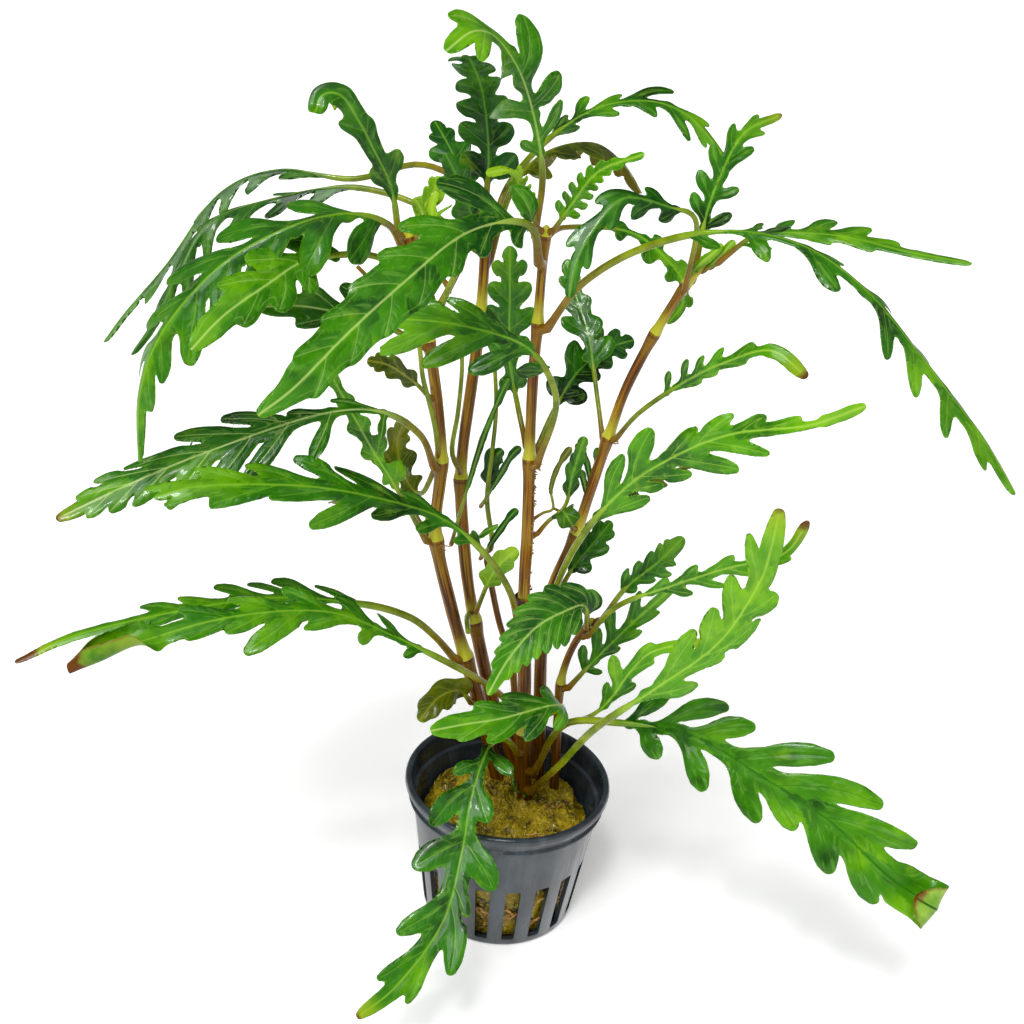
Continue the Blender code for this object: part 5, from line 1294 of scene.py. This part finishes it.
def build_stem(stem, material, chance):
    """A round stem with swollen nodes, each ringed by a fine groove, and a few soft ridges."""
    line, run = stem_line(stem)
    stops = np.append(np.arange(0, run[-1], STEM_STEP), run[-1])
    middles = np.array([np.interp(h - NODE_DROP, line[:, 2], run) for h in stem.nodes] or [-50.0])
    gaps = stops[:, None] - middles[None, :]
    nearest = np.abs(gaps).min(axis=1)
    lower = gaps[np.arange(len(stops)), np.abs(gaps).argmin(axis=1)]
    above = np.where(gaps > 0, gaps, 60.0).min(axis=1)
    below = np.where(gaps < 0, -gaps, 60.0).min(axis=1)
    radii = stem_radius(stem, run, stops)
    swell = 1 + 0.30 * np.exp(-(lower / np.where(lower > 0, 1.7, 3.0)) ** 2)
    groove = 1 - 0.04 * np.exp(-((lower + 0.8) / 0.7) ** 2)
    waist = 1 - 0.07 * np.exp(-((above - 9) / 6) ** 2)
    radii = radii * swell * groove * waist
    angles = around(STEM_SIDES)
    phase = chance.uniform(0, PHASES)
    ridges = 1 + 0.035 * np.cos(4 * angles[None, :] + phase + stops[:, None] * 0.02)
    ridges = ridges + 0.012 * np.sin(9 * angles[None, :] + stops[:, None] * 0.11 + phase)
    points = along(line, run, stops)
    sway = np.column_stack([np.sin(stops / 7 + phase), np.cos(stops / 9 + phase), 0 * stops])
    points = points + 0.10 * sway
    end = np.clip((run[-1] - stops) / 1.6, 0, 1)
    radii = radii * np.sqrt(np.maximum(1 - (1 - end) ** 2, 0.05))
    vertices, faces = tube(points, radii[:, None] * ridges, STEM_SIDES)

    def grow(rows):
        """What each ring has, given to its vertices and to the two ends."""
        return np.concatenate([np.repeat(rows, STEM_SIDES), rows[:1], rows[-1:]])

    cosines = np.concatenate([np.tile(np.cos(angles), len(stops)), [0, 0]])
    sines = np.concatenate([np.tile(np.sin(angles), len(stops)), [0, 0]])
    lift = grow(np.clip((points[:, 2] - STEM_LOW) / STEM_RISE, 0, 1))
    vectors = {"joint": np.column_stack([grow(above), grow(below), grow(stops)]),
               "round": np.column_stack([cosines, sines, lift])}
    item = add_piece(stem.name.replace("stem_", "stalk_"), vertices, faces, [material], None, vectors)
    stand_for(item, "stem", stem.name)


# Net pot
POT_HEIGHT = 41.0
POT_RIM_RADIUS = 27.5
POT_BASE_RADIUS = 20.4
POT_WALL = 1.2
POT_FLOOR = 1.3
BAND_HEIGHT = 6.0
BAND_BASE_RADIUS = 25.2
LIP_HEIGHT = 2.2
SLOT_COUNT = 18
SLOT_LOW = 2.4
SLOT_HIGH = 20.4
SLOT_WIDTH_LOW = 3.3
SLOT_WIDTH_HIGH = 4.0
SLOT_CORNER = 0.3
POT_TURNS = 192

# Mineral wool
WOOL_TOP = 32.0
WOOL_CLEARANCE = 0.6
WOOL_TOP_INSET = 1.6
HUMP_CENTRE = (-12.0, 6.0)
HUMP_HEIGHT = 3.5
HUMP_SPREAD = 60.0
WOOL_TURNS = 220
WOOL_ROWS = 60
WOOL_SIDE_TOP = 28.5
SIDE_TUFT = 3.0
TOP_TUFT = 4.2
TOP_TUFT_HEIGHT = 2.1
STRAND_TRIES = 650
STRAND_TAPER = np.array([0.5, 1, 1, 1, 0.9, 0.4])


def pot_material():
    g = Graph("net_pot_plastic")
    cloud = g.noise(90, 3, 0.6)
    scuff = g.noise(900, 3, 0.7)
    drawn = g.node("ShaderNodeMapping", {"Vector": g.place, "Scale": (1.0, 1.0, 0.16)})
    wet_runs_and_sheen = g.noise(150, 3, 0.55, drawn)
    colour = g.mix(g.step(cloud, 0.3, 0.7), tint(30, 36, 42), tint(50, 60, 66))
    # Painted reflection: the lighter colour along the vertical wet runs stands for light reflected by the
    # wet wall; their lower roughness and relief are real
    colour = g.mix(g.step(wet_runs_and_sheen, 0.5, 0.72, 0.55), colour, tint(74, 84, 92))
    colour = g.mix(g.step(scuff, 0.64, 0.76, 0.35), colour, tint(100, 108, 112))
    roughness = 0.40 - g.step(wet_runs_and_sheen, 0.42, 0.6, 0.22)
    relief = g.bump(wet_runs_and_sheen, 0.12, g.bump(scuff, 0.03))
    return g.finish(Base_Color=colour, Roughness=roughness, IOR=1.5, Normal=relief, Coat_Weight=0.28,
                    Coat_Roughness=0.1)


def wool_material(name, dark, middle, light):
    g = Graph(name)
    clump = g.noise(190, 4, 0.6)
    grain = g.noise(1100, 3, 0.7)
    colour = g.mix(g.step(clump, 0.34, 0.56), dark, middle)
    colour = g.mix(g.step(grain, 0.48, 0.7, 0.8), colour, light)
    wet = g.step(g.noise(420, 2), 0.44, 0.58)
    fine = g.bump(grain, 0.45)
    return g.finish(Base_Color=colour, Roughness=0.62 - 0.46 * wet, Normal=g.bump(clump, 0.6, fine), IOR=1.4,
                    Specular_IOR_Level=0.4, Coat_Weight=0.3, Coat_Roughness=0.06)


def pot_profile():
    """Half of the pot's section, down its outer side from the lip and back up inside."""
    rim = POT_RIM_RADIUS
    band_low = POT_HEIGHT - BAND_HEIGHT
    lip = [(rim - 0.95 + 0.95 * math.cos(a), POT_HEIGHT - 0.95 + 0.95 * math.sin(a))
           for a in np.linspace(0.75 * math.pi, 0, 8)]
    return lip + [(rim, POT_HEIGHT - LIP_HEIGHT + 0.3), (rim - 0.15, POT_HEIGHT - LIP_HEIGHT),
                  (rim - 0.9, POT_HEIGHT - LIP_HEIGHT - 0.1), (rim - 1.1, POT_HEIGHT - LIP_HEIGHT - 0.5),
                  (rim - 1.5, band_low + 1.3), (rim - 1.25, band_low + 1.0), (rim - 1.0, band_low + 0.7),
                  (rim - 1.0, band_low + 0.3), (rim - 1.3, band_low), (rim - 1.9, band_low - 0.2),
                  (BAND_BASE_RADIUS + 0.1, band_low - 0.2), (BAND_BASE_RADIUS, band_low - 0.7),
                  (POT_BASE_RADIUS + 0.2, 1.0), (POT_BASE_RADIUS - 0.1, 0.35), (POT_BASE_RADIUS - 0.7, 0.0),
                  (0.0, 0.0), (0.0, POT_FLOOR),
                  (POT_BASE_RADIUS - POT_WALL, POT_FLOOR), (BAND_BASE_RADIUS - POT_WALL, band_low - 0.9),
                  (BAND_BASE_RADIUS - POT_WALL + 0.2, band_low - 0.4), (rim - 2.35, band_low + 0.1),
                  (rim - 2.15, POT_HEIGHT - 2.0), (rim - 1.95, POT_HEIGHT - 0.9)]


def settle(name, mesh):
    """An object of the mesh that was being built."""
    data = bpy.data.meshes.new(name)
    mesh.to_mesh(data)
    mesh.free()
    return add_object(name, data)


def build_pot():
    """The pot, turned from its section, with its slots cut through the wall."""
    profile = pot_profile()
    mesh = bmesh.new()
    rings = []
    for radius, height in profile:
        if radius == 0:
            rings.append([mesh.verts.new((0, 0, height * MM))] * POT_TURNS)
            continue
        rings.append([mesh.verts.new(polar(radius, a, height) * MM) for a in around(POT_TURNS)])
    for upper, lower in zip(rings, rings[1:] + rings[:1]):
        for k in range(POT_TURNS):
            after = (k + 1) % POT_TURNS
            corners = []
            for vertex in (upper[k], lower[k], lower[after], upper[after]):
                if vertex not in corners:
                    corners.append(vertex)
            if len(corners) > 2:
                mesh.faces.new(corners)
    pot = settle("net_pot", mesh)
    slots = bmesh.new()
    for k in range(SLOT_COUNT):
        made = bmesh.ops.create_cube(slots, size=1.0)["verts"]
        for vertex in made:
            high = vertex.co.z > 0
            width = SLOT_WIDTH_HIGH if high else SLOT_WIDTH_LOW
            radius = POT_RIM_RADIUS + 3 if vertex.co.x > 0 else POT_BASE_RADIUS - 4
            height = SLOT_HIGH if high else SLOT_LOW
            vertex.co = Vector((radius, math.copysign(width / 2, vertex.co.y), height)) * MM
        edges = [e for e in {e for v in made for e in v.link_edges}
                 if abs((e.verts[0].co - e.verts[1].co).x) > 5 * MM]
        bevel = bmesh.ops.bevel(slots, geom=edges, offset=SLOT_CORNER * MM, segments=2, affect="EDGES")
        made = [v for v in {*bevel["verts"], *made} if v.is_valid]
        bmesh.ops.rotate(slots, verts=made, cent=(0, 0, 0),
                         matrix=Matrix.Rotation(WHOLE_TURN * k / SLOT_COUNT, 3, "Z"))
    cutter = settle("slot_cutters", slots)
    boolean = pot.modifiers.new("slots", "BOOLEAN")
    boolean.operation = "DIFFERENCE"
    boolean.solver = "EXACT"
    boolean.object = cutter
    bpy.context.view_layer.update()
    shaped = bpy.data.meshes.new_from_object(pot.evaluated_get(bpy.context.evaluated_depsgraph_get()))
    pot.modifiers.clear()
    pot.data = shaped
    bpy.data.objects.remove(cutter, do_unlink=True)
    shaped.materials.append(pot_material())
    shaped.shade_smooth()
    shaped.set_sharp_from_angle(angle=math.radians(38))
    stand_for(pot, "pot_plastic", "pot")


def inner_radius(height):
    low, high = POT_BASE_RADIUS - POT_WALL, BAND_BASE_RADIUS - POT_WALL
    return low + (high - low) * (height - POT_FLOOR) / (POT_HEIGHT - BAND_HEIGHT - 0.8 - POT_FLOOR)


def wool_lump(angle, height):
    return 0.5 * math.sin(3 * angle + 0.21 * height) + 0.5 * math.sin(5 * angle - 0.33 * height + 1.0)


def wool_top(radius, angle):
    """The height of the wool's rough top, higher to the left of the stems."""
    x, y = radius * math.cos(angle), radius * math.sin(angle)
    reach = (x - HUMP_CENTRE[0]) ** 2 + (y - HUMP_CENTRE[1]) ** 2
    hump = HUMP_HEIGHT * math.exp(-reach / HUMP_SPREAD)
    return WOOL_TOP + hump + 0.8 * math.sin(4 * angle + 0.3 * radius) - 0.004 * radius ** 2


def tufts(point, size):
    """Fibrous lumps, from about -1 to 1, at a place in millimetres."""
    place = Vector(point) / size
    return 0.65 * noise.noise(place) + 0.45 * noise.noise(place * 2.7) + 0.3 * noise.noise(place * 6.1)


def wool_edge(angle):
    """How far the wool's top stops short of the pot: it falls away on the right and on the left."""
    right = 3.2 * math.exp(-(math.remainder(angle - 0.15, WHOLE_TURN) / 0.35) ** 2)
    left = 4.2 * math.exp(-(math.remainder(angle - 3.3, WHOLE_TURN) / 0.4) ** 2)
    return WOOL_TOP_INSET + right + left


def wool_lift(point):
    return TOP_TUFT_HEIGHT * tufts(point, TOP_TUFT)


def build_wool():
    """The lump of wool: its side against the pot, then its rough top, ring by ring to the middle."""
    rings = []
    for height in np.linspace(POT_FLOOR + GAP, WOOL_SIDE_TOP, WOOL_ROWS):
        ring = []
        for angle in around(WOOL_TURNS):
            radius = inner_radius(height) - WOOL_CLEARANCE - 0.25 * (1 + wool_lump(angle, height))
            radius -= 0.9 * max(tufts(polar(radius, angle, height), SIDE_TUFT), -0.25) + 0.22
            ring.append(polar(radius, angle, height))
        rings.append(ring)
    for share in np.concatenate([[1.03, 1.02], np.linspace(1.0, 0.02, WOOL_ROWS)]):
        ring = []
        inside = min(share, 1.0)
        drop = 1.4 * max(share - 1.0, 0) / 0.03
        for angle in around(WOOL_TURNS):
            radius = (inner_radius(WOOL_TOP) - wool_edge(angle)) * inside
            point = polar(radius, angle, wool_top(radius, angle))
            lift = wool_lift(point) * min(1.0, 0.4 + 3 * (1 - inside))
            ring.append(point + np.array([0, 0, lift - drop]))
        rings.append(ring)
    faces = ring_faces(len(rings), WOOL_TURNS)
    faces.append(list(range(WOOL_TURNS))[::-1])
    faces.append([(len(rings) - 1) * WOOL_TURNS + j for j in range(WOOL_TURNS)])
    wool = add_piece("mineral_wool", np.concatenate(rings), faces,
                     [wool_material("wet_wool", tint(54, 42, 0), tint(154, 130, 8), tint(210, 190, 58))])
    stand_for(wool, "mineral_wool", "rockwool")


def build_fibres(chance):
    """Loose fibres that lie on the wool's top in low arches."""
    strands = []
    for _ in range(STRAND_TRIES):
        angle = chance.uniform(0, WHOLE_TURN)
        radius = (inner_radius(WOOL_TOP) - wool_edge(angle)) * math.sqrt(chance.uniform(0.0, 0.96))
        way = chance.uniform(0, WHOLE_TURN)
        bend = chance.uniform(-0.5, 0.5)
        length = chance.uniform(1.6, 5.0)
        points = []
        for share in np.linspace(0, 1, len(STRAND_TAPER)):
            x, y, _ = polar(radius, angle) + polar(length * share, way + bend * share)
            r, a = math.hypot(x, y), math.atan2(y, x)
            r = min(r, inner_radius(WOOL_TOP) - wool_edge(a) - 0.2)
            point = polar(r, a, wool_top(r, a))
            arch = math.sin(math.pi * share) * chance.uniform(0.1, 0.5)
            points.append(point + np.array([0, 0, wool_lift(point) + arch]))
        if np.linalg.norm(np.diff(points, axis=0), axis=1).min() < 0.05:
            continue
        strands.append(tube(points, chance.uniform(0.06, 0.13) * STRAND_TAPER, 5))
    skin = wool_material("wool_strands", tint(112, 92, 4), tint(170, 148, 26), tint(222, 204, 84))
    stand_for(add_piece("wool_fibres", *join_tubes(strands), [skin]), "mineral_wool")


def loose_root(points, radius, chance):
    """A thin wandering root as a tube through the points."""
    line, run = smooth_line(points)
    stops = np.linspace(0, run[-1], 5 * len(points))
    shake = chance.uniform(-0.25, 0.25, (len(stops), 3))
    return tube(along(line, run, stops) + shake, np.linspace(radius, 0.5 * radius, len(stops)), 6)


def join_tubes(made):
    """Vertices and faces of several closed tubes as one mesh."""
    vertices, faces, base = [], [], 0
    for points, corners in made:
        vertices.append(points)
        faces += [tuple(base + v for v in face) for face in corners]
        base += len(points)
    return np.concatenate(vertices), faces


def plain_material(name, dark, light, scale, roughness):
    g = Graph(name)
    colour = g.mix(g.step(g.noise(scale, 3, 0.6), 0.36, 0.64), dark, light)
    relief = g.bump(g.noise(3 * scale, 2), 0.15)
    return g.finish(Base_Color=colour, Roughness=roughness, IOR=1.45, Specular_IOR_Level=0.35, Normal=relief,
                    Coat_Weight=0.2, Coat_Roughness=0.1)


# Heights between which the front stem bears rootlets, nodes that have some of their own, with their
# height and how many, and the heights of the dried leaf sheath
ROOTLET_LOW, ROOTLET_HIGH = 96.0, 132.0
ROOTLET_COUNT = 34
ROOTLET_RADIUS = 0.2
ROOTED_NODES = (("stem_front", 132.6, 6), ("stem_right", 137.6, 2), ("stem_left", 103.8, 2))
SHEATH_LOW, SHEATH_HIGH = 91.2, 94.6


def build_stem_roots(chance):
    """Rootlets along the right of the front stem and below its nodes."""
    made = []
    for _ in range(ROOTLET_COUNT):
        height = chance.uniform(ROOTLET_LOW, ROOTLET_HIGH)
        centre, radius = stem_at("stem_front", height)
        angle = chance.uniform(-0.9, 0.35)
        way = polar(1.0, angle, chance.uniform(-0.1, 0.5))
        foot = centre + way * 0.7 * radius / NODE_SWELL
        reach = radius / NODE_SWELL + chance.uniform(0.15, 0.55)
        route = [foot, centre + way * 0.9 * reach, centre + way * reach]
        made.append(loose_root(route, ROOTLET_RADIUS, chance))
    for stem_name, height, count in ROOTED_NODES:
        centre, radius = stem_at(stem_name, height)
        for _ in range(count):
            angle = chance.uniform(-1.3, 0.6)
            way = polar(1.0, angle)
            tip = centre + way * (radius + chance.uniform(1.2, 3.0))
            tip = tip + np.array([0, 0, chance.uniform(-2.0, 1.5)])
            route = [centre + way * 0.7 * radius, centre + way * (radius + 0.6), tip]
            made.append(loose_root(route, ROOTLET_RADIUS, chance))
    rootlets = add_piece("stem_rootlets", *join_tubes(made), [plain_material(
        "rootlet_skin", tint(118, 74, 20), tint(186, 148, 76), 300, 0.45)])
    stand_for(rootlets, "stem")


def build_sheath():
    """What is left of a dead leaf's foot: a dry brown cuff round the front stem, torn at its edges."""
    sides, rows = 40, 7
    vertices = []
    for inner in (False, True):
        for k in range(rows):
            share = k / (rows - 1)
            for angle in around(sides):
                tear = 0.5 * math.sin(3 * angle + 1) + 0.35 * math.sin(7 * angle)
                height = SHEATH_LOW + (SHEATH_HIGH - SHEATH_LOW) * share + tear * (share - 0.4)
                centre, radius = stem_at("stem_front", height)
                flare = 0.5 + 0.5 * math.sin(2 * angle + 3 * share) + 0.9 * share * max(math.cos(angle), 0)
                out = radius / NODE_SWELL + 0.35 + 0.6 * flare - (0.22 if inner else 0)
                vertices.append((*centre[:2], height) + polar(out, angle))
    faces = ring_faces(rows, sides)
    half, top = rows * sides, (rows - 1) * sides
    faces += [tuple(half + v for v in face[::-1]) for face in faces]
    for j in range(sides):
        after = (j + 1) % sides
        faces.append((j, half + j, half + after, after))
        faces.append((top + after, half + top + after, half + top + j, top + j))
    sheath = add_piece("dried_sheath", vertices, faces, [plain_material(
        "dry_sheath", tint(50, 24, 6), tint(124, 76, 34), 260, 0.6)])
    stand_for(sheath, "stem")


# Roots in the slots: the angle round the pot and the heights of both ends. Roots on the wool: where each
# starts and which way it runs.
SLOT_ROOTS = ((-1.62, 12, 9), (-1.45, 7, 12), (-1.30, 14, 6), (-1.12, 9, 16), (-0.85, 6, 13), (-1.85, 15, 8),
              (-0.62, 12, 7))
TOP_ROOTS = ((11, 1, 0.4), (13, -3, 2.2), (-9, -9, 1.2), (6, -13, 0.1))


def build_pot_roots(chance):
    """Tan roots that cross the slots between the wool and the pot's wall, and a few on the wool."""
    made = []
    for turn, low, high in SLOT_ROOTS:
        points = []
        for share in np.linspace(0, 1, 7):
            angle = turn + 0.55 * (share - 0.5)
            height = low + (high - low) * share + chance.uniform(-0.8, 0.8)
            radius = inner_radius(height) - 0.15
            points.append(polar(radius, angle, height))
        made.append(loose_root(points, 0.32, chance))
    for x, y, way in TOP_ROOTS:
        points = []
        for share in np.linspace(0, 1, 6):
            u, v, _ = polar(6 * share, way) + (x, y, 0)
            point = np.array([u, v, wool_top(math.hypot(u, v), math.atan2(v, u))])
            points.append(point + np.array([0, 0, wool_lift(point) + 0.3]))
        made.append(loose_root(points, 0.28, chance))
    roots = add_piece("pot_roots", *join_tubes(made), [plain_material(
        "tan_roots", tint(142, 94, 36), tint(206, 160, 92), 300, 0.4)])
    stand_for(roots, "mineral_wool")


# Height of the buds' feet, how many there are, and a bud's radii along it against its size
BUD_HEIGHT = 33.6
BUD_COUNT = 11
BUD_TAPER = np.array([0.18, 0.34, 0.42, 0.4, 0.3, 0.18, 0.05])


def build_buds(chance):
    """Dark green buds, each a pointed scale leaf, in a knot round the front stem's foot."""
    made = []
    centre, _ = stem_at("stem_front", 35.0)
    for k in range(BUD_COUNT):
        angle = -1.6 + 0.42 * (k - 5) + chance.uniform(-0.2, 0.2)
        away = chance.uniform(2.0, 4.0)
        size = chance.uniform(1.2, 2.3)
        foot = (*centre[:2], BUD_HEIGHT + chance.uniform(-0.4, 0.8)) + polar(away, angle)
        lean = polar(0.5, angle, 1.0)
        bend = 0.3 * np.array([math.sin(k), math.cos(k), 0])
        shares = np.linspace(0, 1, len(BUD_TAPER))
        line = [foot + size * (lean * share + bend * share ** 2) for share in shares]
        made.append(tube(line, size * BUD_TAPER, 9, 0.6))
    buds = add_piece("foot_buds", *join_tubes(made), [plain_material(
        "bud_green", tint(22, 48, 4), tint(96, 128, 28), 420, 0.3)])
    stand_for(buds, "leaf")


# Camera, in the frame's millimetres
LENS = 52.73
SENSOR = 36.0
EYE = (-5.1, -329.6, 283.4)
PITCH = math.radians(26.4)
ROLL = math.radians(5.0)

# Lights: name, the direction that each comes from, strength and width in degrees. The floor glows a
# little so that it is as white as the photo's.
LIGHTS = (("key", (-0.4, -0.7, 1.2), 2.6, 40.0),
          ("glint", (-0.15, -0.6, 1.0), 0.7, 8.0),
          ("fill", (0.8, -0.5, 0.6), 0.4, 60.0))
WORLD_LIGHT = 0.17
FLOOR_GLOW = 0.26
FLOOR_REACH = 8.0


def add_camera():
    ahead = Vector((0, math.cos(PITCH), -math.sin(PITCH)))
    up = Vector((0, math.sin(PITCH), math.cos(PITCH)))
    right = Vector((1, 0, 0))
    data = bpy.data.cameras.new("view")
    data.lens = LENS
    data.sensor_width = SENSOR
    data.clip_start = 0.01
    camera = add_object("view", data)
    across = right * math.cos(ROLL) + up * math.sin(ROLL)
    over = up * math.cos(ROLL) - right * math.sin(ROLL)
    turn = Matrix((across, over, -ahead)).transposed().to_4x4()
    camera.matrix_world = Matrix.Translation(Vector(EYE) * MM) @ turn
    bpy.context.scene.camera = camera


def add_broad_light(name, source, strength, width):
    """A large soft light, far off in the direction of source; width is how wide it looks, in degrees."""
    data = bpy.data.lights.new(name, "SUN")
    data.energy = strength
    data.angle = math.radians(width)
    light = add_object(name, data)
    light.rotation_euler = Vector(source).to_track_quat("Z", "Y").to_euler()


def add_studio():
    scene = bpy.context.scene
    scene.view_settings.view_transform = "Standard"
    scene.view_settings.look = "None"
    world = bpy.data.worlds.new("studio")
    world.use_nodes = True
    sky = world.node_tree.nodes["Background"].inputs
    sky["Color"].default_value = (1.0, 1.0, 1.0, 1.0)
    sky["Strength"].default_value = WORLD_LIGHT
    scene.world = world
    for light in LIGHTS:
        add_broad_light(*light)
    mesh = bpy.data.meshes.new("floor")
    corners = [(x * FLOOR_REACH, y * FLOOR_REACH, 0) for x, y in ((-1, -1), (1, -1), (1, 1), (-1, 1))]
    mesh.from_pydata(corners, [], [(0, 1, 2, 3)])
    floor = add_object("floor", mesh)
    g = Graph("pale_floor")
    paper = g.mix(g.noise(400, 2), (0.93, 0.93, 0.93), (0.95, 0.95, 0.95))
    mesh.materials.append(g.finish(Base_Color=paper, Roughness=0.9, Emission_Color=(1.0, 1.0, 1.0),
                                   Emission_Strength=FLOOR_GLOW))


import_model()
add_camera()
build_pot()
chance = np.random.default_rng(SEED)
build_wool()
build_fibres(chance)
skin = stem_material()
for stem in STEMS:
    build_stem(stem, skin, chance)
build_leaves()
build_stem_roots(chance)
build_sheath()
build_pot_roots(chance)
build_buds(chance)
add_studio()
